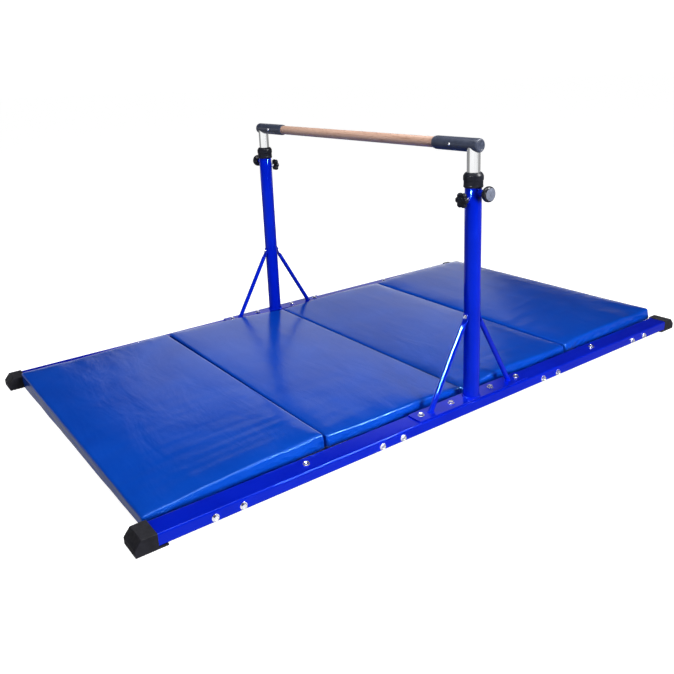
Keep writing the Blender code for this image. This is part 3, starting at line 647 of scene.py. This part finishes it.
def strap(index, x):
    """A flat cross strap bent up at both ends."""
    low, top, bend = 0.0045, 0.037, 0.006
    end_y, flat_z = STRAP_REACH - STRAP_T / 2, low + STRAP_T / 2
    centre_line = [(-end_y, top)]
    for k in range(9):
        a = math.pi + 0.5 * math.pi * k / 8
        centre_line.append((bend - end_y + bend * math.cos(a), flat_z + bend + bend * math.sin(a)))
    centre_line += [(-p[0], p[1]) for p in reversed(centre_line)]
    loops = []
    for i, (y, z) in enumerate(centre_line):
        normal = normal_at(centre_line, i)
        shape = rounded_rect(STRAP_W, STRAP_T, 0.0009, 3)
        loops.append([(x + p[0], y + normal.x * p[1], z + normal.y * p[1]) for p in shape])
    bm = bmesh.new()
    loft(bm, loops)
    piece("cross_strap_%d" % index, "_steel", bm, PAINT, "frame")


for side_name, side in SIDES:
    rail(side_name, side)
    for end_name, end in ENDS:
        cap(side_name, side, end_name, end)
for index, x in enumerate(STRAPS, start=1):
    strap(index, x)


# ---- bolts
def side_bolts(side_name, side, index, x):
    """The two bolts that hold a strap to a rail, with the nut strip behind it."""
    bm = bmesh.new()
    face = RAIL_Y + RAIL_W / 2 + GAP
    inner = STRAP_REACH - STRAP_T - GAP
    for k, offset in enumerate(SIDE_BOLT_OFFSETS):
        hex_bolt(bm, (x + offset, side * face, 0.0235), (0.0, side, 0.0), face - inner + 0.004,
                 0.35 + 1.1 * k + 0.7 * index)
    low, high = sorted((side * inner, side * (inner - 0.005)))
    block(bm, (x - 0.054, low, 0.0165), (x + 0.054, high, 0.0305), 0.001, 3)
    piece("side_bolts_%s_%d" % (side_name, index), "_zinc", bm, ZINC, "frame", 30.0)


def base_bolts(side_name, y, nut_top):
    """The four bolts of a base plate, with a nut strip inside the rail."""
    bm = bmesh.new()
    for k, x in enumerate(PLATE_BOLTS):
        hex_bolt(bm, (x, y, PLATE_TOP + GAP), (0, 0, 1), PLATE_TOP - nut_top + 0.004, 0.2 + 0.5 * k)
    block(bm, (-0.255, y - 0.009, nut_top - 0.006), (0.255, y + 0.009, nut_top), 0.001, 2)
    piece("base_bolts_" + side_name, "_zinc", bm, ZINC, "frame", 30.0)


def rail_bolt(name, x, y, nut_top, turn):
    """A bolt on top of a rail, with its nut inside."""
    bm = bmesh.new()
    hex_bolt(bm, (x, y, RAIL_TOP + GAP), (0, 0, 1), 0.010, turn)
    lathe(bm, rounded([(0.0, 0.0), (0.0078, 0.0), (0.0078, -0.006), (0.0, -0.006)], 0.0006), 6,
          Matrix.Translation((x, y, nut_top)))
    piece(name, "_zinc", bm, ZINC, "frame", 30.0)


def brace_bolt(name, y, end):
    """The short bolt through a brace's ear."""
    bm = bmesh.new()
    out = POST_R + GAP + 0.004 + GAP
    hex_bolt(bm, (end * out, y, BRACE_BOLT_Z), (end, 0, 0), out - INNER_R - 0.0015, 0.5, 0.0046, 0.70)
    piece(name, "_zinc", bm, ZINC, "frame", 30.0)


for side_name, side in SIDES:
    y, nut_top = side * RAIL_Y, RAIL_TOP - RAIL_WALL - GAP
    base_bolts(side_name, y, nut_top)
    for end_name, end in ENDS:
        rail_bolt("rail_bolt_%s_%s" % (side_name, end_name), end * RAIL_BOLT_X, y, nut_top, 0.4 + end)
        brace_bolt("brace_bolt_%s_%s" % (side_name, end_name), y, end)
    for index, x in enumerate(STRAPS, start=1):
        side_bolts(side_name, side, index, x)


# ---- base plates, posts and braces
def plate(side_name, side):
    """A base plate with the weld beads of the post and the braces."""
    bm = bmesh.new()
    y, low, inset = side * RAIL_Y, RAIL_TOP + GAP, 0.0007

    def outline(shrink, z):
        return [(p[0], y + p[1], z)
                for p in rounded_rect(PLATE_L - 2 * shrink, PLATE_W - 2 * shrink, 0.005 - shrink)]

    def oval(centre_x, radius_x, radius_y, z, steps, end=1.0):
        turns = [2 * math.pi * k / steps for k in range(steps)]
        return [(end * (centre_x + radius_x * math.cos(a)), y + radius_y * math.sin(a), z) for a in turns]

    loft(bm, [outline(inset, low), outline(0.0, low + inset), outline(0.0, PLATE_TOP - inset),
              outline(inset * 0.3, PLATE_TOP - inset * 0.3), outline(inset, PLATE_TOP)])
    weld_bead(bm, oval(0.0, 0.0305, 0.0305, PLATE_TOP + 0.0006, 220))
    for _, end in ENDS:
        weld_bead(bm, oval(BRACE_FOOT_X, 0.0115, 0.0100, PLATE_TOP + 0.0004, 90, end), 0.0020, 0.0030)
    piece("base_plate_" + side_name, "_steel", bm, PAINT, "frame", 40.0)


def post(side_name, side):
    """An upright tube, bored for the pin, the clamp screw and the brace bolts."""
    bm = bmesh.new()
    y, foot, bore = side * RAIL_Y, PLATE_TOP + GAP, POST_R - POST_WALL
    profile = [(bore, POST_TOP - 0.0005), (POST_R - 0.0015, POST_TOP), (POST_R - 0.0006, POST_TOP),
               (POST_R, POST_TOP - 0.0006), (POST_R, 0.6), (POST_R, 0.3), (POST_R, foot), (bore, foot)]
    lathe(bm, profile, 96, Matrix.Translation((0.0, y, 0.0)), closed=True)
    made = to_object("post_%s_tube" % side_name, bm)
    bored(made, [((0.0, y, PIN_Z), (0.0, y + side * 0.05, PIN_Z), STUD_HOLE_R),
                 ((0.0, y, STAR_Z), (side * 0.05, y, STAR_Z), STUD_HOLE_R),
                 ((-0.05, y, BRACE_BOLT_Z), (0.05, y, BRACE_BOLT_Z), 0.0044)])
    settle(made, PAINT, "frame", "post_" + side_name)


def collar(side_name, side):
    """A plastic cap over the post's top: conical shoulder, wide ring and a narrower lower ring."""
    bm = bmesh.new()
    over, lip, bore = POST_R + GAP, POST_R - POST_WALL - GAP, INNER_R + GAP
    low, high, r = 0.8056, 0.8556, 0.0345
    profile = above(high, (r - 0.0078, 0.0), (r - 0.0056, -0.0018), (r - 0.0012, -0.0085), (r, -0.0120),
                    (r, -0.0250), (r - 0.0018, -0.0262))
    profile += above(low, (r - 0.0018, 0.0080), (r - 0.0012, 0.0070), (r - 0.0012, 0.0018), (r - 0.0024, 0.0),
                     (over, 0.0)) + [(over, POST_TOP + GAP), (lip, POST_TOP + GAP)]
    profile += above(low, (lip, 0.006), (bore, 0.006)) + above(high, (bore, -0.0012), (bore + 0.0012, 0.0))
    lathe(bm, rounded(profile, 0.0006, 2), 96, Matrix.Translation((0.0, side * RAIL_Y, 0.0)), closed=True)
    piece("collar_" + side_name, "_plastic", bm, BLACK, "frame", 40.0)


def brace(side_name, side, end_name, end):
    """A round tube whose upper end is pressed flat into a bolted ear."""
    top_x, top_z, ear_low = POST_R + GAP + 0.002, 0.367, 0.3500
    foot = Vector((BRACE_FOOT_X, PLATE_TOP + GAP))
    knee = Vector((top_x + 0.0004, ear_low - 0.004))
    slope = (foot - knee).normalized()
    # each step of the path is a point, how flat the tube is there and how wide its ear is
    path = [(Vector((top_x, top_z - drop)), 1.0, wide)
            for drop, wide in ((0.0, 0.55), (0.0015, 0.72), (0.004, 0.88), (0.0085, 1.0))]
    start, corner = Vector((top_x, ear_low + 0.004)), Vector((top_x, ear_low - 0.004))
    path += [(Vector((top_x, BRACE_BOLT_Z)), 1.0, 1.0), (start, 1.0, 1.0)]
    path += [(bent(start, corner, knee + slope * 0.012, k / 9.0), 1.0 - 0.06 * k / 9.0, 1.0)
             for k in range(1, 9)]
    for k in range(13):
        t = k / 12.0
        flat = 0.94 * (1.0 - (3 * t * t - 2 * t ** 3))
        path.append((knee + slope * (0.012 + 0.018 * t), flat, 1.0))
    path += [(knee + slope * s, 0.0, 1.0) for s in np.linspace(0.036, (foot - knee).length, 18)]
    loops = []
    steps = 32
    for i, (point, flat, wide) in enumerate(path):
        normal = normal_at([step[0] for step in path], i)
        half_y = BRACE_R * (1 - flat) + 0.0120 * wide * flat
        half_n = BRACE_R * (1 - flat) + 0.0020 * flat
        if i == len(path) - 1:              # the foot is cut level with the plate
            normal, half_n = Vector((1.0, 0.0)), BRACE_R / abs(slope.y)
        power = 1.0 - 0.55 * flat
        loop = []
        for k in range(steps):
            a = 2 * math.pi * k / steps
            ca, sa = math.cos(a), math.sin(a)
            u = half_y * math.copysign(abs(ca) ** (0.65 if flat > 0.6 else 1.0), ca)
            v = half_n * math.copysign(abs(sa) ** power, sa)
            q = point + normal * v
            loop.append((end * q.x, side * RAIL_Y + u, q.y))
        loops.append(loop)
    bm = bmesh.new()
    loft(bm, loops)
    piece("brace_%s_%s" % (side_name, end_name), "_tube", bm, PAINT, "frame", 50.0)


for side_name, side in SIDES:
    plate(side_name, side)
    post(side_name, side)
    collar(side_name, side)
    for end_name, end in ENDS:
        brace(side_name, side, end_name, end)


# ---- pull pins and clamp knobs
def boss_start(radius):
    """Where a boss of this radius leaves the round post."""
    return math.sqrt((POST_R + 0.0002) ** 2 - radius ** 2) + 0.0006


def pin_boss(side_name, place):
    """A painted boss with a groove round it."""
    bm = bmesh.new()
    r, tip, start = 0.0120, 0.0500, boss_start(0.0120)
    profile = [(STUD_HOLE_R, tip), (0.0106, tip), (r, tip - 0.0016), (r, tip - 0.0040),
               (0.0114, tip - 0.0045), (0.0114, tip - 0.0054), (r, tip - 0.0059), (r, start),
               (STUD_HOLE_R, start + 0.0017)]
    lathe(bm, rounded(profile, 0.0004, 2), 48, place, closed=True)
    piece("pin_boss_" + side_name, "_steel", bm, PAINT, "frame", 40.0)


def star_boss(side_name, place):
    """A zinc boss with hexagon flats."""
    bm = bmesh.new()
    r, tip, start = 0.0100, 0.0450, boss_start(0.0100)

    def facet(angle):
        return min(r, hexagon(angle, 0.0092)) - r

    loops = [circle(STUD_HOLE_R, tip, 48), circle(0.0078, tip, 48), circle(0.0088, tip - 0.0005, 48),
             circle(r, tip - 0.0016, 48, facet), circle(r, start + 0.0005, 48, facet),
             circle(0.0095, start, 48), circle(STUD_HOLE_R, start + 0.0017, 48)]
    loft(bm, loops, close=True, matrix=place)
    piece("star_boss_" + side_name, "_zinc", bm, ZINC, "frame", 40.0)


def pull_knob(side_name, place):
    """The round pull knob with its pin, and the paler disc in its face."""
    bm = bmesh.new()
    back, front, r = 0.0600, 0.0775, 0.0265
    profile = above(front, (0.0, -0.0016), (0.0150, -0.0016), (0.0178, -0.0012), (0.0200, 0.0),
                    (0.0228, -0.0008), (0.0252, -0.0030), (r, -0.0068))
    profile += above(back, (r, 0.0040), (0.0250, 0.0006), (0.0222, -0.0030), (0.0190, -0.0060),
                     (0.0178, -0.0078)) + [(0.0172, 0.0506), (0.0040, 0.0506)]
    profile += above(INNER_R, (0.0040, 0.0015), (0.0030, 0.0005), (0.0, 0.0005))
    lathe(bm, rounded(profile, 0.0012, 3), 96, place)
    piece("pull_pin_" + side_name, "_knob", bm, KNOB, "pin_" + side_name, 40.0)

    bm = bmesh.new()
    profile = above(front, (0.0, 0.0012), (0.0090, 0.0009), (0.0160, 0.0002), (0.0212, -0.0002),
                    (0.0216, -0.0008), (0.0216, -0.0030), (0.0, -0.0030))
    lathe(bm, rounded(profile, 0.0005, 2), 72, place)
    settle(to_object("pull_pin_%s_disc" % side_name, bm, 40.0), FACE, "pin_" + side_name)


def star_knob(side_name, place):
    """The six-lobed clamp knob with its screw."""
    bm = bmesh.new()
    steps, back, front = 144, 0.0470, 0.0605
    loops = [circle(r, back + 0.002, steps) for r in (0.0040, 0.0088)]
    loops += [circle(r, height, steps, lambda a: -depth * (1.0 - abs(math.cos(3.0 * a))) ** 1.5)
              for r, height, depth in (
        (0.0165, back + 0.0006, 0.0010), (0.0228, back, 0.0040), (0.0255, back + 0.0008, 0.0064),
        (0.0268, back + 0.0030, 0.0074), (0.0268, front - 0.0042, 0.0074), (0.0260, front - 0.0020, 0.0068),
        (0.0238, front - 0.0007, 0.0056), (0.0205, front - 0.0002, 0.0036))]
    loops += [circle(r, front - drop, steps) for r, drop in (
        (0.0140, 0.0006), (0.0126, 0.0014), (0.0106, 0.0014), (0.0096, 0.0), (0.0030, 0.0), (0.00002, 0.0))]
    loft(bm, loops, cap=False, matrix=place)
    lathe(bm, [(0.0, back + 0.004), (0.0041, back + 0.004), (0.0041, INNER_R + 0.0018),
               (0.0032, INNER_R + 0.001), (0.0, INNER_R + 0.001)], 32, place)
    piece("star_knob_" + side_name, "_plastic", bm, BLACK, "star_" + side_name, 40.0)


for side_name, side in SIDES:
    pin_at = aim((0.0, side * RAIL_Y, PIN_Z), (0.0, side, 0.0))
    star_at = aim((0.0, side * RAIL_Y, STAR_Z), (side, 0.0, 0.0))
    pin_boss(side_name, pin_at)
    star_boss(side_name, star_at)
    pull_knob(side_name, pin_at)
    star_knob(side_name, star_at)


# ---- bar, fittings and inner tubes
def inner_tube(side_name, side):
    """A chromed tube with its row of pin holes."""
    bm = bmesh.new()
    y, bore, low, high = side * RAIL_Y, INNER_R - INNER_WALL, 0.130, 0.9415
    lathe(bm, rounded([(bore, high), (INNER_R, high), (INNER_R, low), (bore, low)], 0.0005, 2), 96,
          Matrix.Translation((0.0, y, 0.0)), closed=True)
    made = to_object("inner_tube_%s_chrome" % side_name, bm)
    heights = [PIN_Z - 0.08 * k for k in range(8)]
    bored(made, [((0.0, y, z), (0.0, y + side * 0.04, z), STUD_HOLE_R) for z in heights], 24)
    settle(made, CHROME, "bar_carriage", "inner_tube_" + side_name)


def fitting(side_name, side):
    """The grey shell that holds the bar's end, and the bolt in its side."""
    bm = bmesh.new()
    r, inner_y, outer_y, bar, bar_end = 0.0235, 0.492, 0.705, BAR_R + GAP, BAR_END + GAP
    profile = above(outer_y, (0.0, -0.0012), (0.0135, -0.0012), (0.0145, -0.0016), (0.0152, -0.0010),
                    (0.0165, 0.0), (0.0203, -0.0011), (0.0227, -0.0035), (r, -0.007), (r, -0.012),
                    (r - 0.0006, -0.0126), (r - 0.0006, -0.0138), (r, -0.0144))
    profile += above(inner_y, (r, 0.015), (r - 0.0006, 0.0085), (r - 0.0020, 0.0028), (r - 0.0034, 0.0004),
                     (bar + 0.0004, 0.0), (bar, 0.0006)) + [(bar, bar_end), (0.0, bar_end)]
    lathe(bm, rounded(profile, 0.0012, 3), 96, aim((0.0, 0.0, BAR_Z), (0.0, side, 0.0)))
    made = to_object("fitting_%s_shell" % side_name, bm)
    bolt_y = side * FITTING_BOLT_Y
    bored(made, [((0.0, bolt_y, BAR_Z), (-0.06, bolt_y, BAR_Z), 0.0029)])
    settle(made, GREY, "bar_carriage", "fitting_" + side_name)

    bm = bmesh.new()
    screw = [(0.0, 0.0274), (0.0019, 0.0274), (0.0022, 0.0292), (0.0036, 0.0282), (0.0045, 0.0262),
             (0.0048, 0.0240), (0.0025, 0.0240), (0.0025, 0.0060), (0.0, 0.0060)]
    lathe(bm, rounded(screw, 0.0004, 2), 36, aim((0.0, bolt_y, BAR_Z), (-1.0, 0.0, 0.0)))
    piece("fitting_bolt_" + side_name, "_zinc", bm, ZINC, "bar_carriage", 40.0)


for side_name, side in SIDES:
    inner_tube(side_name, side)
    fitting(side_name, side)

bm = bmesh.new()
end_rows = [(0.0, BAR_END), (BAR_R - 0.0012, BAR_END), (BAR_R, BAR_END - 0.0012)]
rows = end_rows + [(BAR_R, y) for y in np.linspace(0.55, -0.55, 23)]
rows += [(radius, -y) for radius, y in reversed(end_rows)]
lathe(bm, rows, 96, aim((0.0, 0.0, BAR_Z), (0.0, 1.0, 0.0)))
piece("wooden_bar", "_beech", bm, WOOD, "bar_carriage")


# ---- folding mat
HINGE = Vector((0.012, 0.0, 0.058))
TILTS = [math.radians(v) for v in (-2.68, 2.07, 0.56, 1.22)]


def far_hinge(angle, outward):
    """The fold line at the outer end of a middle panel, on its lower face."""
    return HINGE + Vector((outward * (PITCH * math.cos(angle) + MAT_T * math.sin(angle)), 0.0,
                           PITCH * math.sin(angle) - MAT_T * math.cos(angle)))


LEFT, RIGHT = far_hinge(TILTS[1], -1.0), far_hinge(TILTS[2], 1.0)
# number, hinge, tilt, outward, whether the hinge is on the upper face, insets at the hinge and the other end,
# and how far the near and the far edge rise, in mm, from the hinge to the other end
PANELS = (
    (1, LEFT, TILTS[0], -1.0, False, (0.0024, 0.0010),
     (5.0, 3.0, 5.0, 4.0, 1.0, -5.0, -8.0), (3.0, 5.0, 7.0, 9.0, 13.0, 20.0, 24.0)),
    (2, HINGE, TILTS[1], -1.0, True, (0.0012, 0.0024),
     (0.0, 2.5, 3.0, 0.0, -5.0, -6.0, -6.0), (0.0, 3.0, 5.0, 6.0, 5.0, 3.0, 2.0)),
    (3, HINGE, TILTS[2], 1.0, True, (0.0012, 0.0036),
     (-2.0, -2.0, 7.0, 8.0, 2.0, -2.0, -1.0), (0.0, 4.0, 9.0, 11.0, 10.0, 8.0, 5.0)),
    (4, RIGHT, TILTS[3], 1.0, False, (0.0040, 0.0010),
     (0.0, 8.0, 9.0, 8.0, 9.0, 1.0, 3.0), (4.0, 10.0, 12.0, 12.0, 10.0, 7.0, 3.0)),
)


def eased(values, t):
    """Smooth interpolation through evenly spaced values."""
    place = np.clip(t, 0.0, 1.0) * (len(values) - 1)
    i = np.minimum(place.astype(int), len(values) - 2)
    k = place - i
    k = k * k * (3.0 - 2.0 * k)
    values = np.array(values)
    return values[i] * (1.0 - k) + values[i + 1] * k


def box_grid(counts, low, high):
    """A closed box of quads, evenly divided along each axis."""
    index, verts, faces = {}, [], []

    def vert(i, j, k):
        key = (i, j, k)
        if key not in index:
            index[key] = len(verts)
            verts.append([low[a] + (high[a] - low[a]) * key[a] / counts[a] for a in range(3)])
        return index[key]

    # each pair of faces is across one axis, and the first list says which of the two is wound the other way
    for (one, two), across, flips in (((0, 1), 2, (True, False)), ((0, 2), 1, (False, True)),
                                      ((1, 2), 0, (True, False))):
        for i in range(counts[one]):
            for j in range(counts[two]):
                for level, flip in zip((0, counts[across]), flips):
                    quad = []
                    for di, dj in ((0, 0), (1, 0), (1, 1), (0, 1)):
                        key = [level] * 3
                        key[one], key[two] = i + di, j + dj
                        quad.append(vert(*key))
                    faces.append(quad[::-1] if flip else quad)
    return np.array(verts), faces


def points_of(data):
    co = np.zeros(len(data.vertices) * 3, np.float64)
    data.vertices.foreach_get("co", co)
    return co.reshape(-1, 3)


def put_points(data, co):
    data.vertices.foreach_set("co", co.astype(np.float32).ravel())
    data.update()


def inflate(made, cap=0.006):
    """Blow the cover up by cloth simulation and keep each point within the cap of where it began."""
    start = points_of(made.data)
    cloth = made.modifiers.new("cloth", "CLOTH")
    for name, value in (("quality", 4), ("mass", 0.4), ("tension_stiffness", 20.0),
                        ("compression_stiffness", 20.0), ("shear_stiffness", 8.0), ("bending_stiffness", 1.5),
                        ("use_pressure", True), ("uniform_pressure_force", 4.0), ("shrink_min", -0.006)):
        setattr(cloth.settings, name, value)
    cloth.settings.effector_weights.gravity = 0.0
    cloth.collision_settings.use_collision = False
    cloth.collision_settings.use_self_collision = False
    cloth.point_cache.frame_start, cloth.point_cache.frame_end = 1, 20
    scene = bpy.context.scene
    for number in range(1, 21):
        scene.frame_set(number)
    applied(made)
    scene.frame_set(1)
    move = points_of(made.data) - start
    size = np.linalg.norm(move, axis=1, keepdims=True)
    put_points(made.data, start + move * (cap * np.tanh(size / cap) / np.maximum(size, 1e-9)))


def smoothed(name, co, faces, simulate):
    """A subdivided cover from a box grid, blown up first when asked."""
    data = bpy.data.meshes.new("pad")
    data.from_pydata(co.tolist(), [], faces)
    made = placed(name, data)
    if simulate:
        inflate(made)
    smooth = made.modifiers.new("smooth", "SUBSURF")
    smooth.levels = smooth.render_levels = 1
    return applied(made)


def noise_at(*columns):
    """Smooth noise at points given by their three coordinates, as arrays or plain numbers."""
    return np.array([noise.noise(Vector(point)) for point in zip(*np.broadcast_arrays(*columns))])


def wave(u, v, scale_u, scale_v, seed):
    """Smooth noise over the panel, stretched by its two scales."""
    return noise_at(u * scale_u, v * scale_v, seed)


def near_end(distance, reach):
    """1 at an edge, falling to 0 at reach from it."""
    return np.clip(1.0 - distance / reach, 0.0, 1.0)


def lifted(number, base, swell, low, hinge_on_top, near_edge, far_edge):
    """Raise the cover: its swelling, the long rise and fall of its edges, ripples and streaks."""
    u, v = base[:, 0], base[:, 1]
    level = np.clip((base[:, 2] - low) / MAT_T, 0.0, 1.0)
    across = np.clip(v / MAT_W + 0.5, 0.0, 1.0)
    places = np.linspace(0.0, 1.0, len(near_edge))
    near_fit, far_fit = np.polyfit(places, near_edge, 2), np.polyfit(places, far_edge, 2)
    middle = np.polyval(near_fit, u / PITCH) * (1 - across) + np.polyval(far_fit, u / PITCH) * across
    by_near, by_far = (np.exp(-(distance * MAT_W / 0.13) ** 2) for distance in (across, 1 - across))
    rise = eased(near_edge, u / PITCH) * by_near + eased(far_edge, u / PITCH) * by_far
    rise += middle * (1 - by_near - by_far)
    fall_u = 1.0 - near_end(np.minimum(u, PITCH - u), 0.045)
    fall_v = 1.0 - near_end(MAT_W / 2 - np.abs(v), 0.045)
    inside = fall_u * (2 - fall_u) * fall_v * (2 - fall_v)
    ripple = 1.2 * wave(u, v, 5.0, 3.2, number * 3.1) + 0.5 * wave(u, v, 13.0, 8.0, number * 1.7)
    creased = 1.3 if number == 1 else 0.78
    ripple += creased * wave(u, v, 4.0, 30.0, number * 5.3) * np.clip(0.8 - across, 0.0, 1.0)
    edge_wave = wave(u, v, 16.0, 2.0, number * 2.9) * (1 - fall_v) * 1.1
    co = base + swell * np.array((0.30, 0.30, 0.55))
    co[:, 2] -= swell[:, 2] * 0.45 * (1.0 - level)
    share = level ** 1.3
    co[:, 2] += (share * rise + 0.25 * (1.0 - share) * np.maximum(rise, 0.0)) * 0.001
    co[:, 2] += level ** 3 * (1.2 * inside + ripple * (0.35 + 0.65 * inside) + edge_wave) * 0.001
    if hinge_on_top:
        # next to a hinge on top the panel stays low, so that it can fold against its neighbour
        room = np.maximum(u, 0.0) * (0.030 if number == 2 else 0.050) + 0.0004
        extra = co[:, 2] - base[:, 2]
        held = (extra > 0.0) & (level > 0.5)
        co[:, 2] = np.where(held, base[:, 2] + room * np.tanh(extra / room), co[:, 2])
    return co


def crumpled(number, base, co, low, hinge_on_top):
    """Work the side faces and the free end: bellies, creases, pleats by the fold and a near lip."""
    u, v, w = base.T
    level = np.clip((w - low) / MAT_T, 0.0, 1.0)
    across = np.clip(v / MAT_W + 0.5, 0.0, 1.0)
    side_face = near_end(MAT_W / 2 - np.abs(v), 0.006)
    belly = np.sin(np.pi * level)
    crease = noise_at(u * 22.0 + w * 30.0, w * 45.0, number * 7.7)
    crease += 0.6 * noise_at(u * 60.0 - w * 90.0, w * 60.0, number * 4.1)
    rough_ends = 1.0 + 1.2 * np.exp(-(u / 0.09) ** 2) * (0.4 if hinge_on_top else 1.0)
    co[:, 1] += np.sign(v) * side_face * (0.0012 + 0.0032 * belly * crease * rough_ends)
    co[:, 1] -= near_end(MAT_W / 2 + v, 0.030) ** 2 * 0.009 * (1.0 - level ** 2.2)
    pleats = np.exp(-(u / 0.045) ** 2) * np.sin(u * 2.0 * math.pi / 0.025)
    co[:, 1] += np.sign(v) * side_face * 0.0040 * belly * pleats
    co[:, 1] += level * 0.013 * np.clip(v / MAT_W * 2.0, 0.0, 1.0) ** 2
    if number in (1, 4):
        stretch = 0.006 + 0.014 * across if number == 1 else 0.011 * (1.0 - 0.7 * across)
        ridge = noise_at(v * 9.0, w * 70.0, number * 6.1)
        end_face = near_end(np.minimum(u, PITCH - u), 0.006) * (u > PITCH / 2)
        co[:, 0] += (u / PITCH) ** 2 * stretch + end_face * 0.0014 * ridge


def pad(number, hinge, angle, outward, hinge_on_top, insets, near_edge, far_edge):
    """One padded panel in its own cover."""
    low = -MAT_T if hinge_on_top else 0.0
    corner_low = (insets[0], -MAT_W / 2 + 0.001, low + 0.0004)
    corner_high = (PITCH - insets[1], MAT_W / 2 - 0.001, low + MAT_T - 0.002)
    co, faces = box_grid((50, 100, 7), corner_low, corner_high)
    made = smoothed("mat_panel_%d_pad" % number, co, faces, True)
    plain = smoothed("plain", co, faces, False)
    base = points_of(plain.data)
    bpy.data.objects.remove(plain, do_unlink=True)
    co = lifted(number, base, points_of(made.data) - base, low, hinge_on_top, near_edge, far_edge)
    crumpled(number, base, co, low, hinge_on_top)
    x = hinge.x + outward * (co[:, 0] * math.cos(angle) - co[:, 2] * math.sin(angle))
    z = hinge.z + co[:, 0] * math.sin(angle) + co[:, 2] * math.cos(angle)
    put_points(made.data, np.stack([x, co[:, 1], z], axis=1))
    bm = bmesh.new()
    bm.from_mesh(made.data)
    bmesh.ops.recalc_face_normals(bm, faces=bm.faces)
    bm.to_mesh(made.data)
    bm.free()
    made.data.shade_smooth()
    settle(made, VINYL, "panel_%d" % number, "mat_panel_%d" % number)


for panel in PANELS:
    pad(*panel)


# ---- fold webs
def web(name, line, reach, sag=0.0, node=None):
    """A strip of vinyl along a fold line, from reach[0] to reach[1] in x from it, that dips by sag there."""
    half, thick = MAT_W / 2 - 0.006, 0.0008
    profile = [(s, -sag * math.exp(-(s / 0.0035) ** 2)) for s in np.linspace(reach[0], reach[1], 13)]
    bm = bmesh.new()
    loops = []
    for v in np.linspace(-half, half, 41):
        upper = [(line.x + s, v, line.z + d) for s, d in profile]
        lower = [(line.x + s, v, line.z + d - thick) for s, d in reversed(profile)]
        loops.append(upper + lower)
    loft(bm, loops)
    made = to_object(name, bm, 60.0, weighted=False)
    material, slot = WEB
    made.data.materials.append(material)
    if node:
        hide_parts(node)
    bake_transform(made)


ABOVE, BELOW = Vector((0, 0, 0.0006)), Vector((0, 0, -0.0045))
BOTH = (-0.010, 0.010)
web("fold_web_1_strip", LEFT + ABOVE, BOTH, node="fold_web_1")
web("fold_web_3_strip", RIGHT + ABOVE, BOTH, node="fold_web_3")
web("fold_web_2_left", HINGE + BELOW, (-0.010, 0.0), 0.002, "fold_web_2")
web("fold_web_2_right", HINGE + BELOW, (0.0, 0.010), 0.002)
